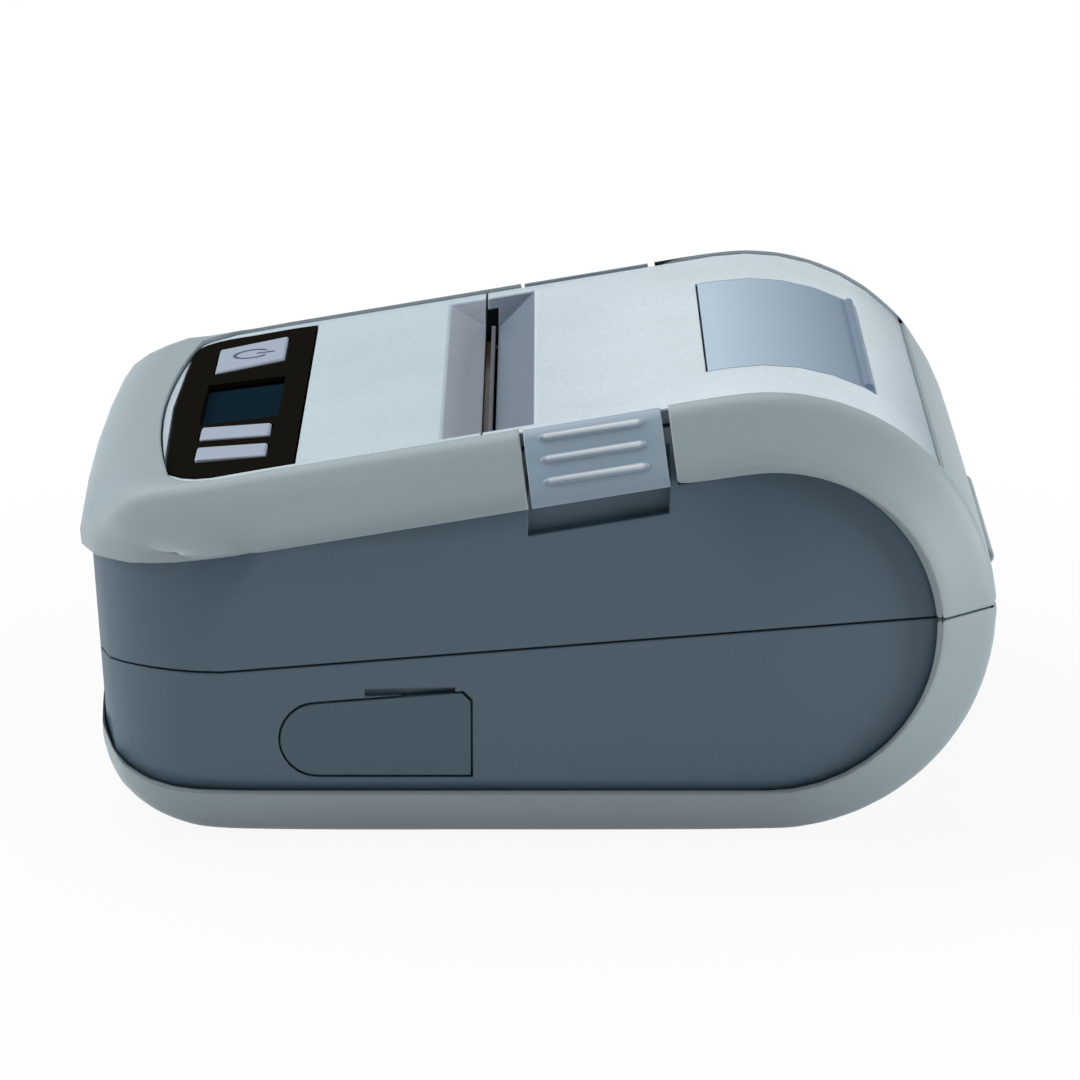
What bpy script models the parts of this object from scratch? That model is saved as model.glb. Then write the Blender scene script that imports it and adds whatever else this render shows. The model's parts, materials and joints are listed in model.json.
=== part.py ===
# Portable thermal printer with a hinged paper cover, for rolls 80 mm wide
# Metres, +Z up. X runs from the control panel (front, -X) to the paper roll (rear, +X).
# The origin is at the middle of the base, on the surface that the printer stands on.

import math

import bmesh
import bpy
from mathutils import Matrix, Vector

# Body outline, seen from the side
rear_radius = 0.0304
rear_centre_x = 0.0302
top_slope = math.radians(9.5)
nose_reach = 0.0619
brow_height = 0.0406
deck_reach = 0.0538
deck_front_height = 0.0480
knee_reach = 0.0365
brow_under_height = 0.0386
chin_reach = 0.0595
chin_height = 0.0100
chin_top_height = 0.0142
toe_reach = 0.0440
bumper_lip = 0.0005

# Body outline, seen from above and from the front
half_width = 0.0505
deck_half_width = 0.0443
deck_corner = 0.0070
deck_edge = 0.0016
rim_drop = 0.0086
corner_start = 0.0380
corner_depth = 0.0165
nose_bulge = 0.0008
shoulder_bulge = 0.0028
taper_height = 0.0450
side_taper_share = 0.029

# Walls and clearances
gap = 0.0003
seam_gap = 0.0003
rim_thickness = 0.0024
wall = 0.0022
deck_recess = 0.0005
skin_thickness = 0.0016
overrun = 0.0200
merge_distance = 0.000001

# Dark side panels between the rims
window_radius = 0.0223
window_centre_x = 0.0300
window_centre_z = 0.0292
flare_radius = 0.0230
flare_centre_x = 0.0307
flare_centre_z = 0.0285
flare_depth = 0.0013
window_front_low = 0.0155
window_low_reach = 0.0455
window_front_run = 0.0135
window_top_knee = 0.0400

# Seam between the lower and the upper housing
seam_height = 0.0269
seam_slope = 0.0816
seam_bend_reach = 0.0420
seam_nose_height = 0.0238

# Paper exit across the top
exit_front = 0.0140
exit_rear = 0.0002
exit_half_width = 0.0413
exit_floor_height = 0.0503
exit_floor_front = 0.0076
exit_floor_rear = 0.0060
exit_floor_half_width = 0.0385
cover_seam_x = 0.0077
exit_wall = 0.0016
exit_block_rear = 0.0040
exit_block_half_width = 0.0407

# Roll bay and its walls
bay_radius = 0.0260
bay_half_width = 0.0405
bay_wall = 0.0014
mech_bay_rear = 0.0062
mech_bay_half_width = 0.0440

# Cover: rear line, window for the roll and hinge
rear_line_angle = math.radians(40.6)
roll_window_start = 0.0225
roll_window_angle = math.radians(60.5)
roll_window_half_width = 0.0270
roll_window_ridge = 0.0007
hinge_x = rear_centre_x + rear_radius
hinge_radius = 0.0013
hinge_pin_radius = 0.0006
hinge_half_width = 0.0200

# Latches on both sides of the cover
latch_front = 0.0028
latch_rear = 0.0157
latch_lean = 0.0012
latch_side_gap = 0.0005
latch_hinge_y = 0.0449
latch_rib_radius = 0.0005
latch_rib_length = 0.0136
latch_rib_shares = (0.14, 0.44, 0.74)
finger_depth = 0.0019
finger_wall = 0.0008
finger_drop = 0.0049
catch_lip_depth = 0.0017
catch_lip_height = 0.0012
catch_lip_inset = 0.0015

# Platen roller and its bearings
platen_x = 0.0013
platen_z = 0.0435
platen_radius = 0.0050
platen_half_length = 0.0389
platen_shaft_radius = 0.0015
platen_shaft_reach = 0.0436
bush_radius = 0.0028
bush_inner = 0.0404
bush_outer = 0.0418
arm_inner = 0.0392
arm_outer = 0.0402
arm_radius = 0.0036

# Gear train on the far side
gear_module = 0.0006
tooth_top_share = 0.9
tooth_root_share = 1.2
pinion_teeth = 10
idler_large_teeth = 36
idler_small_teeth = 14
platen_gear_teeth = 18
gear_backlash = 0.00025
small_gear_start = 0.0420
small_gear_end = 0.0434
large_gear_start = 0.0437
large_gear_end = 0.0451
idler_x = 0.0065
idler_z = 0.0353
motor_angle = math.radians(194.5)
idler_pin_radius = 0.0009

# Motor, frame and print head
motor_radius = 0.0072
motor_start = 0.0200
motor_end = 0.0404
motor_shaft_radius = 0.0008
frame_sheet = 0.0008
frame_inner = 0.0407
frame_base_front = 0.0152
frame_base_rear = 0.0010
frame_base_height = 0.0272
frame_rear = 0.0034
frame_top = 0.0472
spring_tab_half_width = 0.0175
head_face_x = 0.0066
head_thickness = 0.0012
head_half_width = 0.0385
head_low = 0.0390
head_high = 0.0484
sink_thickness = 0.0020
sink_low = 0.0300
spring_radius = 0.0021
spring_wire = 0.00032
spring_turns = 4
spring_offset = 0.0120
spring_height = 0.0400
tear_thickness = 0.0006
tear_low = 0.0489
tear_high = 0.0510
tear_teeth = 32

# Control panel, keys and display
panel_front = 0.0507
panel_rear = 0.0324
panel_half_width = 0.0410
panel_front_half_width = 0.0330
panel_side_start = 0.0440
panel_thickness = 0.0008
panel_bulge = 0.0008
key_proud = 0.0003
key_depth = 0.0026
key_gap = 0.00025
power_key_y = 0.0262
power_key_size = (0.0098, 0.0140)
power_key_skew = 0.0035
slim_key_size = (0.0097, 0.0062)
slim_key_skew = -0.0022
feed_key_y = -0.0195
enter_key_y = -0.0307
key_centre_share = 0.52
display_size = (0.0110, 0.0236)
display_y = -0.0007
display_thickness = 0.0019
board_thickness = 0.0012
panel_board_depth = 0.0035

# Battery, boards and sockets
battery_front = 0.0380
battery_rear = 0.0014
battery_half_width = 0.0332
battery_top = 0.0200
battery_recess = 0.0003
battery_wall = 0.0013
latch_pad_length = 0.0075
latch_pad_width = 0.0150
latch_pad_thickness = 0.0016
main_board_setback = 0.0055
main_board_front = min(nose_reach, chin_reach) - main_board_setback
main_board_rear = 0.0290
main_board_half_width = 0.0300
main_board_height = 0.0236
port_board_depth = 0.0364
socket_face = 0.0452
dc_x = -0.0270
dc_radius = 0.0028
dc_width = 0.0090
usb_x = -0.0155
usb_width = 0.0078
usb_height = 0.0040
socket_height = 0.0142

# Rubber flap over the sockets
flap_front = 0.0344
flap_rear = 0.0092
flap_low = 0.0092
flap_front_high = 0.0191
flap_rear_high = 0.0206
flap_thickness = 0.0013
flap_recess = 0.0015
flap_corner = 0.0012
notch_front = 0.0232
notch_rear = 0.0112
notch_height = 0.0009
notch_depth = 0.0013

# Housing screws
screw_front_x = -0.0450
screw_front_y = 0.0375
screw_rear_x = 0.0302
screw_rear_y = 0.0437
screw_rear_seat = 0.0080
screw_head_radius = 0.0023
screw_head_height = 0.0015
screw_radius = 0.0011
screw_seat = 0.0034
screw_top = 0.0330
boss_radius = 0.0032
standoff_radius = 0.0024
standoff_y = 0.0260

# How finely curves are drawn
arc_steps = 21
shoulder_steps = 5
toe_steps = 4
round_steps = 20
small_round_steps = 12
bay_steps = 24
corner_steps = 5

# Sizes worked out from the ones above
rear_centre_z = rear_radius
top_tangent_x = rear_centre_x - rear_radius * math.sin(top_slope)
top_tangent_z = rear_centre_z + rear_radius * math.cos(top_slope)
hinge_z = seam_height + seam_slope * hinge_x


def top_height(x, inset=0.0):
    """Height of the sloping top at x, moved in by inset."""
    return top_tangent_z + (x - top_tangent_x) * math.tan(top_slope) - inset / math.cos(top_slope)


# The body's cross-sections. Each row is a share of the half width and a share of the
# rim's drop: the middle is full height, and the rim falls away towards the sides.
rim_shares = ((0.0, 0.0), (0.42, 0.0), (0.76, 0.0), (0.871, 0.0), (0.889, 0.045),
              (0.905, 0.13), (0.945, 0.48), (0.965, 0.653), (0.982, 0.80), (0.993, 0.922), (1.0, 1.0))
wall_shares = ((0.0, 0.0), (0.42, 0.0), (0.76, 0.0), (0.875, 0.0), (0.92, 0.16), (0.945, 0.36),
               (0.965, 0.52), (0.985, 0.794), (1.0, 1.0))


class Form:
    """A body outline that is smaller than the outer one by named amounts."""

    def __init__(self, inset, width, drop, nose, nose_low, shoulder, shoulder_height, brow, shares):
        self.inset = inset
        self.width = width
        self.drop = drop
        self.nose = nose
        self.nose_low = nose_low
        self.shoulder = shoulder
        self.shoulder_height = shoulder_height
        self.brow = brow
        self.shares = shares

    def grown(self, amount):
        """The same outline, moved outwards by amount."""
        return Form(self.inset - amount, self.width + amount, self.drop, self.nose + amount,
                    self.nose_low + amount, self.shoulder + amount, self.shoulder_height + amount,
                    self.brow + amount, self.shares)


outer_form = Form(0.0, half_width, rim_drop, nose_reach, chin_reach, deck_reach,
                  deck_front_height, brow_height, rim_shares)
wall_form = Form(rim_thickness, half_width - rim_thickness + gap, rim_drop - rim_thickness - gap,
                 nose_reach - rim_thickness / 1.6, chin_reach - bumper_lip,
                 deck_reach - rim_thickness / 1.2, deck_front_height - rim_thickness, brow_under_height,
                 wall_shares)


def clear_scene():
    for item in list(bpy.data.objects):
        bpy.data.objects.remove(item, do_unlink=True)


def material(name, colour, roughness, metallic=0.0, alpha=1.0):
    found = bpy.data.materials.get(name) or bpy.data.materials.new(name)
    found.use_nodes = True
    shader = found.node_tree.nodes["Principled BSDF"]
    shader.inputs["Base Color"].default_value = (*colour, 1.0)
    shader.inputs["Roughness"].default_value = roughness
    shader.inputs["Metallic"].default_value = metallic
    shader.inputs["Alpha"].default_value = alpha
    return found


def add_object(name, points, faces, finish=None):
    """A closed mesh object whose faces point outwards."""
    mesh = bpy.data.meshes.new(name)
    mesh.from_pydata([tuple(point) for point in points], [], faces)
    body = bmesh.new()
    body.from_mesh(mesh)
    bmesh.ops.remove_doubles(body, verts=body.verts, dist=merge_distance)
    bmesh.ops.recalc_face_normals(body, faces=body.faces)
    body.to_mesh(mesh)
    body.free()
    item = bpy.data.objects.new(name, mesh)
    bpy.context.collection.objects.link(item)
    if finish:
        mesh.materials.append(finish)
    return item


def loft(name, rings, finish=None):
    """Join rings of equal length into one skin and close both ends."""
    count = len(rings[0])
    points = [point for ring in rings for point in ring]
    faces = []
    for level in range(len(rings) - 1):
        for step in range(count):
            after = (step + 1) % count
            faces.append((level * count + step, level * count + after,
                          (level + 1) * count + after, (level + 1) * count + step))
    faces.append(tuple(range(count)))
    faces.append(tuple(range((len(rings) - 1) * count, len(rings) * count)))
    return add_object(name, points, faces, finish)


def side_prism(name, outline, low_y, high_y, finish=None):
    """Extrude an outline of (x, z) points along Y."""
    return loft(name, [[(x, y, z) for x, z in outline] for y in (low_y, high_y)], finish)


def plan_prism(name, outline, low_z, high_z, finish=None):
    """Extrude an outline of (x, y) points along Z."""
    return loft(name, [[(x, y, z) for x, y in outline] for z in (low_z, high_z)], finish)


def block(name, low, high, finish=None):
    outline = ((low[0], low[1]), (high[0], low[1]), (high[0], high[1]), (low[0], high[1]))
    return plan_prism(name, outline, low[2], high[2], finish)


def arc(centre, radius, start, end, steps):
    """Points along an arc in a plane, from start to end."""
    return [(centre[0] + radius * math.cos(start + (end - start) * step / steps),
             centre[1] + radius * math.sin(start + (end - start) * step / steps))
            for step in range(steps + 1)]


def circle(centre, radius, steps, turn=0.0):
    return arc(centre, radius, turn, turn + math.tau * (steps - 1) / steps, steps - 1)


def rod(name, centre, radius, low_y, high_y, steps=small_round_steps, finish=None):
    """A round bar along Y through centre (x, z)."""
    return side_prism(name, circle(centre, radius, steps), low_y, high_y, finish)


def post(name, centre, radius, low_z, high_z, steps=small_round_steps, finish=None):
    """A round bar along Z through centre (x, y)."""
    return plan_prism(name, circle(centre, radius, steps), low_z, high_z, finish)


def settle(item):
    """Replace an object's mesh by the shape that its modifiers give."""
    bpy.context.view_layer.update()
    graph = bpy.context.evaluated_depsgraph_get()
    shaped = bpy.data.meshes.new_from_object(item.evaluated_get(graph))
    item.modifiers.clear()
    item.data = shaped
    return item


def combine(item, tool, operation, keep=False):
    """Boolean of item with tool, which is removed unless it is kept."""
    modifier = item.modifiers.new(operation.lower(), "BOOLEAN")
    modifier.operation = operation
    modifier.solver = "EXACT"
    modifier.object = tool
    settle(item)
    if not keep:
        bpy.data.objects.remove(tool, do_unlink=True)
    return item


def cut(item, tool, keep=False):
    return combine(item, tool, "DIFFERENCE", keep)


def join(item, tool, keep=False):
    return combine(item, tool, "UNION", keep)


def common(item, tool, keep=False):
    return combine(item, tool, "INTERSECT", keep)


def tapered(y, z):
    """Side walls lean inwards towards the base."""
    return y * (1 - side_taper_share * (taper_height - z) / taper_height)


def front_setback(y, bulge, width):
    """How far the front has moved back at y: a slight bulge, then the round corner."""
    reach = abs(y)
    setback = bulge * (reach / corner_start) ** 2
    if reach > corner_start:
        share = (reach - corner_start) / (width + gap - corner_start)
        setback += corner_depth * (1 - math.sqrt(1 - share * share))
    return setback


def form_ring(form, y, drop):
    """One cross-section of a form: its side outline at y, moved in by drop."""
    low_back = front_setback(y, nose_bulge, form.width)
    high_back = front_setback(y, shoulder_bulge, form.width)
    inset = form.inset + drop
    centre = (rear_centre_x, rear_centre_z)
    ring = arc(centre, rear_radius - inset, -math.pi / 2, math.pi / 2 + top_slope, arc_steps)
    ring.append((-knee_reach, top_height(-knee_reach, inset)))
    for step in range(shoulder_steps + 1):
        turn = math.pi / 2 * step / shoulder_steps
        back = high_back + (low_back - high_back) * math.sin(turn)
        x = -form.shoulder - (form.nose - form.shoulder) * math.sin(turn) + back
        z = form.brow + (form.shoulder_height - drop - form.brow) * math.cos(turn)
        ring.append((x, z))
    waist = (form.nose + form.nose_low) / 2
    ring.append((-waist + low_back, (form.brow + chin_top_height) / 2))
    ring.append((-form.nose_low + low_back, chin_top_height))
    for step in range(toe_steps + 1):
        turn = math.pi / 2 * step / toe_steps
        run = form.nose_low - toe_reach
        x = -toe_reach - run * math.cos(turn) + low_back
        z = chin_height - (chin_height - inset) * math.sin(turn)
        ring.append((x, z))
    return [(x, tapered(y, z), z) for x, z in ring]


def form_solid(name, form):
    """The whole closed body of a form, mirrored about the middle plane."""
    stations = [(share * form.width, drop_share * form.drop) for share, drop_share in form.shares]
    rings = [form_ring(form, -y, drop) for y, drop in reversed(stations[1:])]
    rings += [form_ring(form, y, drop) for y, drop in stations]
    return triangulated(loft(name, rings))


def window_outline(radius, centre_x, centre_z):
    """Outline of the dark side panel: a long slot with a round rear end and an open front."""
    outline = arc((centre_x, centre_z), radius, -math.pi / 2, math.pi / 2 + top_slope, arc_steps)
    last_x, last_z = outline[-1]
    knee_z = last_z - (last_x + window_top_knee) * math.tan(top_slope)
    outline.append((-window_top_knee, knee_z))
    outline.append((-deck_reach, brow_under_height))
    outline.append((-nose_reach - overrun, brow_under_height))
    outline.append((-nose_reach - overrun, window_front_low))
    low_z = centre_z - radius
    for step in range(small_round_steps // 2 + 1):
        turn = math.pi / 2 * step / (small_round_steps // 2)
        x = -window_low_reach - window_front_run * math.cos(turn)
        z = window_front_low - (window_front_low - low_z) * math.sin(turn)
        outline.append((x, z))
    return outline


def window_cutter(name):
    """Cuts the side panels out of the rim, with an inner edge that flares outwards."""
    inner = window_outline(window_radius, window_centre_x, window_centre_z)
    outer = window_outline(flare_radius, flare_centre_x, flare_centre_z)
    wide = half_width + overrun
    edge = half_width - gap
    root = edge - flare_depth
    rows = ((-wide, outer), (-edge, outer), (-root, inner), (root, inner), (edge, outer), (wide, outer))
    return loft(name, [[(x, y, z) for x, z in outline] for y, outline in rows])


def seam_line(offset):
    """Points of the seam from front to rear, moved up by offset."""
    bend_z = seam_height - seam_slope * seam_bend_reach
    far = rear_centre_x + rear_radius + overrun
    return [(-nose_reach - overrun, seam_nose_height + offset), (-deck_reach, seam_nose_height + offset),
            (-seam_bend_reach, bend_z + offset), (far, seam_height + seam_slope * far + offset)]


def above_seam(name):
    top = rear_radius * 2 + overrun
    line = seam_line(seam_gap / 2)
    outline = line + [(line[-1][0], top), (line[0][0], top)]
    return side_prism(name, outline, -half_width - overrun, half_width + overrun)


def below_seam(name):
    line = seam_line(-seam_gap / 2)
    outline = line + [(line[-1][0], -overrun), (line[0][0], -overrun)]
    return side_prism(name, outline, -half_width - overrun, half_width + overrun)


def deck_outline(margin):
    """Plan outline inside the rim, from the round front corners to past the rear."""
    side = deck_half_width - margin
    front = deck_reach - deck_edge - margin
    half = []
    for step in range(corner_steps):
        y = (side - deck_corner) * step / corner_steps
        half.append((-front + shoulder_bulge * (y / corner_start) ** 2, y))
    for step in range(corner_steps + 1):
        turn = math.pi / 2 * step / corner_steps
        y = side - deck_corner + deck_corner * math.sin(turn)
        bulge = shoulder_bulge * ((side - deck_corner) / corner_start) ** 2
        half.append((-front + bulge + deck_corner * (1 - math.cos(turn)), y))
    far = rear_centre_x + rear_radius + overrun
    half.append((far, side))
    return [(x, -y) for x, y in reversed(half[1:])] + half


def deck_region(name, margin):
    """Everything inside the rim and in front of the cover's rear line."""
    region = plan_prism(name, deck_outline(margin), chin_height, rear_radius * 2 + overrun)
    reach = rear_radius + overrun
    turn = rear_line_angle + margin / rear_radius
    high = rear_radius * 2 + overrun * 2
    rear = (rear_centre_x + reach * math.cos(turn), rear_centre_z + reach * math.sin(turn))
    front = -nose_reach - overrun
    outline = [(rear_centre_x, rear_centre_z), rear, (rear[0], high), (front, high), (front, brow_height),
               (-deck_reach, brow_height)]
    return common(region, side_prism("behind_line", outline, -half_width - overrun, half_width + overrun))


def latch_edge(reach, z):
    """X of a latch edge at height z: the edges lean like the sloping top."""
    share = (top_height(reach) - z) / rim_drop
    return reach + latch_lean * share


def rear_of(name, reach, lean=True):
    """Region behind a leaning line across the side of the body."""
    low = chin_height
    high = rear_radius * 2 + overrun
    far = rear_centre_x + rear_radius + overrun
    low_x = latch_edge(reach, low) if lean else reach
    high_x = latch_edge(reach, high) if lean else reach
    outline = [(low_x, low), (far, low), (far, high), (high_x, high)]
    return side_prism(name, outline, -half_width - overrun, half_width + overrun)


def rim_blank(name):
    """The rim that wraps the body, before it is cut into its pieces."""
    rim = form_solid(name, outer_form)
    cut(rim, form_solid("rim_bore", wall_form.grown(gap)))
    return cut(rim, window_cutter("rim_window"))


def bay_outline(radius, top):
    """Side outline of the round roll bay, open upwards."""
    outline = arc((rear_centre_x, rear_centre_z), radius, -math.pi, 0.0, bay_steps)
    outline += [(rear_centre_x + radius, top), (rear_centre_x - radius, top)]
    return outline


def front_room(name, top):
    """The room in front of the roll bay, inside the housing walls."""
    room = form_solid(name, wall_form.grown(-wall))
    centre = (rear_centre_x, rear_centre_z)
    rise = math.asin((rear_centre_z - seam_height) / (bay_radius + bay_wall))
    outline = arc(centre, bay_radius + bay_wall, math.radians(258), math.pi + rise, bay_steps // 2)
    outline += [(mech_bay_rear, outline[-1][1]), (mech_bay_rear, top), (-nose_reach, top),
                (-nose_reach, rim_thickness), (outline[0][0], rim_thickness)]
    return common(room, side_prism("room_side", outline, -half_width, half_width))


def tip_radius(teeth):
    return gear_module * (teeth / 2 + tooth_top_share)


def gear(name, centre, teeth, low_y, high_y, turn, bore, finish=None):
    """A spur gear along Y with straight-sided teeth and a bore."""
    root = gear_module * (teeth / 2 - tooth_root_share)
    tip = tip_radius(teeth)
    outline = []
    for tooth in range(teeth):
        middle = turn + math.tau * tooth / teeth
        half = math.tau / teeth
        for radius, share in ((root, -0.32), (tip, -0.13), (tip, 0.13), (root, 0.32)):
            outline.append((centre[0] + radius * math.cos(middle + half * share),
                            centre[1] + radius * math.sin(middle + half * share)))
    wheel = side_prism(name, outline, low_y, high_y, finish)
    if bore:
        cut(wheel, rod("gear_bore", centre, bore, low_y - overrun, high_y + overrun))
    return wheel


def lower_housing(finish):
    """Dark tub: side walls, battery box, bay trough and screw bosses."""
    tub = common(form_solid("lower_housing", wall_form), below_seam("tub_top"))
    tub.data.materials.append(finish)
    room = front_room("tub_room", rear_radius + wall)
    box_low = (-battery_front - battery_wall - gap, -battery_half_width - battery_wall - gap, -overrun)
    box_high = (-battery_rear + battery_wall + gap, battery_half_width + battery_wall + gap,
                battery_top + battery_wall + gap)
    cut(room, block("battery_box", box_low, box_high))
    for x, y, _ in screw_places()[:2]:
        cut(room, post("boss", (x, y), boss_radius, -overrun, rear_radius * 2))
    for x, y, top in standoff_places():
        cut(room, post("standoff", (x, y), standoff_radius, -overrun, top))
    cut(tub, room)
    cut(tub, side_prism("bay", bay_outline(bay_radius, rear_radius * 2), -bay_half_width, bay_half_width))
    pocket_low = (-battery_front - gap, -battery_half_width - gap, -overrun)
    pocket_high = (-battery_rear + gap, battery_half_width + gap, battery_top + gap)
    cut(tub, block("pocket", pocket_low, pocket_high))
    for x, y, seat in screw_places():
        cut(tub, post("screw_hole", (x, y), screw_radius + gap, -overrun, rear_radius * 2))
        cut(tub, post("screw_sink", (x, y), screw_head_radius + gap, -overrun, seat))
    cut(tub, flap_solid("flap_seat", gap, flap_recess))
    cut(tub, notch_cutter("notch"))
    inner_face = -port_board_depth
    ports = (("dc_port", dc_x, dc_width, dc_width), ("usb_port", usb_x, usb_width, usb_height))
    for name, x, width, height in ports:
        low = (x - width / 2 - gap, -half_width, socket_height - height / 2 - gap)
        high = (x + width / 2 + gap, inner_face - board_thickness, socket_height + height / 2 + gap)
        cut(tub, block(name, low, high))
    return tub


def standoff_places():
    """Posts that carry the steel frame and the main board."""
    frame_top_z = frame_base_height - frame_sheet - gap
    board_top_z = main_board_height - gap
    middle = -(frame_base_front + frame_base_rear) / 2
    board_x = (-main_board_front + standoff_radius * 2, -main_board_rear - standoff_radius * 2)
    places = [(middle, side * standoff_y, frame_top_z) for side in (-1, 1)]
    return places + [(x, side * standoff_y, board_top_z) for x in board_x for side in (-1, 1)]


def screw_places():
    places = ((screw_front_x, screw_front_y, screw_seat), (screw_rear_x, screw_rear_y, screw_rear_seat))
    return [(x, side * y, seat) for x, y, seat in places for side in (-1, 1)]


def flap_outline(margin):
    """Side outline of the socket flap: half-round front end, square rear end."""
    low = flap_low - margin
    radius = (flap_front_high - flap_low) / 2 + margin
    centre = (-flap_front + radius - margin, low + radius)
    outline = arc(centre, radius, math.pi * 1.5, math.pi * 0.5, small_round_steps)
    outline.append((-notch_front, flap_front_high + margin + (flap_rear_high - flap_front_high) / 3))
    outline.append((-flap_rear - flap_corner + margin, flap_rear_high + margin))
    outline.append((-flap_rear + margin, flap_rear_high - flap_corner + margin))
    outline.append((-flap_rear + margin, low))
    return outline


def flap_solid(name, margin, depth):
    """A slab of the near side wall inside the flap's outline."""
    slab = form_solid(name, wall_form.grown(margin))
    cut(slab, form_solid("slab_core", wall_form.grown(-depth)))
    region = side_prism("slab_side", flap_outline(margin), -half_width - overrun, -corner_start)
    return common(slab, region)


def notch_cutter(name):
    """The dark slit above the flap where a fingernail pries it open."""
    low = flap_rear_high - notch_height / 2
    outline = [(-notch_front, low), (-notch_rear, low + notch_height / 3),
               (-notch_rear, low + notch_height * 1.4), (-notch_front, low + notch_height * 1.1)]
    return side_prism(name, outline, -half_width, -half_width + rim_thickness + gap + notch_depth)


def upper_housing(finish):
    """Dark upper shell: front body, round side cheeks, room for the mechanism."""
    shell = common(form_solid("upper_housing", wall_form), above_seam("shell_base"))
    shell.data.materials.append(finish)
    room = front_room("shell_room", rear_radius * 2)
    for x, y, _ in screw_places()[:2]:
        cut(room, post("boss", (x, y), boss_radius, 0.0, rear_radius * 2))
    for side in (-1, 1):
        cut(room, finger_backing("backing", side))
    cut(shell, room)
    cut(shell, side_prism("bay", bay_outline(bay_radius, rear_radius * 3), -bay_half_width, bay_half_width))
    cut(shell, mechanism_opening())
    idler, _ = gear_places()
    cut(shell, rod("gear_room", idler, tip_radius(idler_large_teeth) + gap * 2, small_gear_start,
                   large_gear_end + gap * 2, round_steps))
    cut(shell, panel_opening())
    for x, y, _ in screw_places():
        cut(shell, post("screw_hole", (x, y), screw_radius + gap, 0.0, screw_top + gap))
    for side in (-1, 1):
        cut(shell, finger_cutter("finger", side))
    return shell


def mechanism_opening():
    """Open top above the platen, its arms and the gears."""
    low = (-exit_front - exit_wall * 2, -mech_bay_half_width, seam_height)
    high = (mech_bay_rear, mech_bay_half_width, rear_radius * 3)
    return block("mechanism_opening", low, high)


def panel_opening():
    """Openings in the housing's top under the display and the keys."""
    edge = panel_thickness * 2.5
    half = panel_half_width - edge * 2
    low = (-panel_front + edge, -half, brow_height)
    high = (-panel_rear - edge, half, rear_radius * 2)
    return block("panel_opening", low, high)


def finger_cutter(name, side):
    """Shallow scoop in the dark wall under a latch, for a fingertip."""
    slope = math.tan(top_slope)
    front = -latch_front + latch_lean
    rear = latch_rear + latch_lean
    base = top_height(front, rim_drop)
    outline = [(front, base - finger_drop), (rear, base - finger_drop + (rear - front) * slope),
               (rear, top_height(rear, 0.0)), (front, top_height(front, 0.0))]
    inner = half_width - rim_thickness - finger_depth
    low, high = sorted((side * inner, side * (half_width + overrun)))
    return side_prism(name, outline, low, high)


def rim_pieces(finish):
    """Front bezel, cover rim, lower bumper and both latch blanks, cut from one rim."""
    pieces = {}
    bumper = common(rim_blank("lower_bumper"), below_seam("bumper_top"))
    bumper_openings(bumper)
    pieces["lower_bumper"] = bumper
    upper = common(rim_blank("front_bezel"), above_seam("bezel_base"))
    cut(upper, deck_region("deck_hole", 0.0))
    rim = upper.copy()
    rim.data = upper.data.copy()
    rim.name = "cover_rim"
    bpy.context.collection.objects.link(rim)
    cut(upper, rear_of("bezel_end", -latch_front))
    common(rim, rear_of("rim_start", latch_rear + latch_side_gap * 2))
    hinge_parts(rim, bumper)
    pieces["front_bezel"] = upper
    pieces["cover_rim"] = rim
    for item in pieces.values():
        item.data.materials.clear()
        item.data.materials.append(finish)
    return pieces


def bumper_openings(bumper):
    """Battery opening and screw holes through the base."""
    low = (-battery_front - gap, -battery_half_width - gap, -overrun)
    high = (-battery_rear + gap, battery_half_width + gap, battery_top)
    cut(bumper, block("battery_hole", low, high))
    for x, y, _ in screw_places()[:2]:
        cut(bumper, post("screw_hole", (x, y), screw_head_radius + gap * 2, -overrun, chin_height))


def hinge_places():
    """Ends along Y of the five hinge knuckles, from one side to the other."""
    step = 2 * hinge_half_width / 5
    return [(-hinge_half_width + step * place + gap / 2, -hinge_half_width + step * (place + 1) - gap / 2)
            for place in range(5)]


def hinge_parts(rim, bumper):
    """Interleaved hinge knuckles on the cover rim and the bumper, bored for one pin."""
    for place, (low, high) in enumerate(hinge_places()):
        own, other = (bumper, rim) if place % 2 == 0 else (rim, bumper)
        cut(other, rod("knuckle_room", (hinge_x, hinge_z), hinge_radius + gap, low - gap / 2, high + gap / 2,
                       round_steps))
        join(own, rod("knuckle", (hinge_x, hinge_z), hinge_radius, low, high, round_steps))
    for item in (rim, bumper):
        cut(item, rod("hinge_bore", (hinge_x, hinge_z), hinge_pin_radius + gap / 2, -half_width, half_width))


def rim_face(drop_share):
    """Distance from the middle plane, and inset, of a point on the rim's sloping face."""
    for (y_low, drop_low), (y_high, drop_high) in zip(rim_shares, rim_shares[1:]):
        if drop_low <= drop_share <= drop_high and drop_high > drop_low:
            share = (drop_share - drop_low) / (drop_high - drop_low)
            return (y_low + (y_high - y_low) * share) * half_width, drop_share * rim_drop
    return half_width, rim_drop


def latch(name, side, finish):
    """Side latch: a piece of the rim with three grip ribs and an inner tongue."""
    plate = rim_blank(name)
    cut(plate, deck_region("latch_deck", -gap))
    common(plate, above_seam("latch_base"))
    common(plate, rear_of("latch_start", -latch_front + latch_side_gap))
    cut(plate, rear_of("latch_end", latch_rear))
    low, high = sorted((0.0, side * (half_width + overrun)))
    common(plate, block("latch_side", (-latch_rear, low, 0.0), (latch_rear * 2, high, rear_radius * 3)))
    for share in latch_rib_shares:
        join(plate, latch_rib("rib", side, share))
    join(plate, catch_lip("lip", side))
    plate.data.materials.clear()
    plate.data.materials.append(finish)
    return plate


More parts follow.
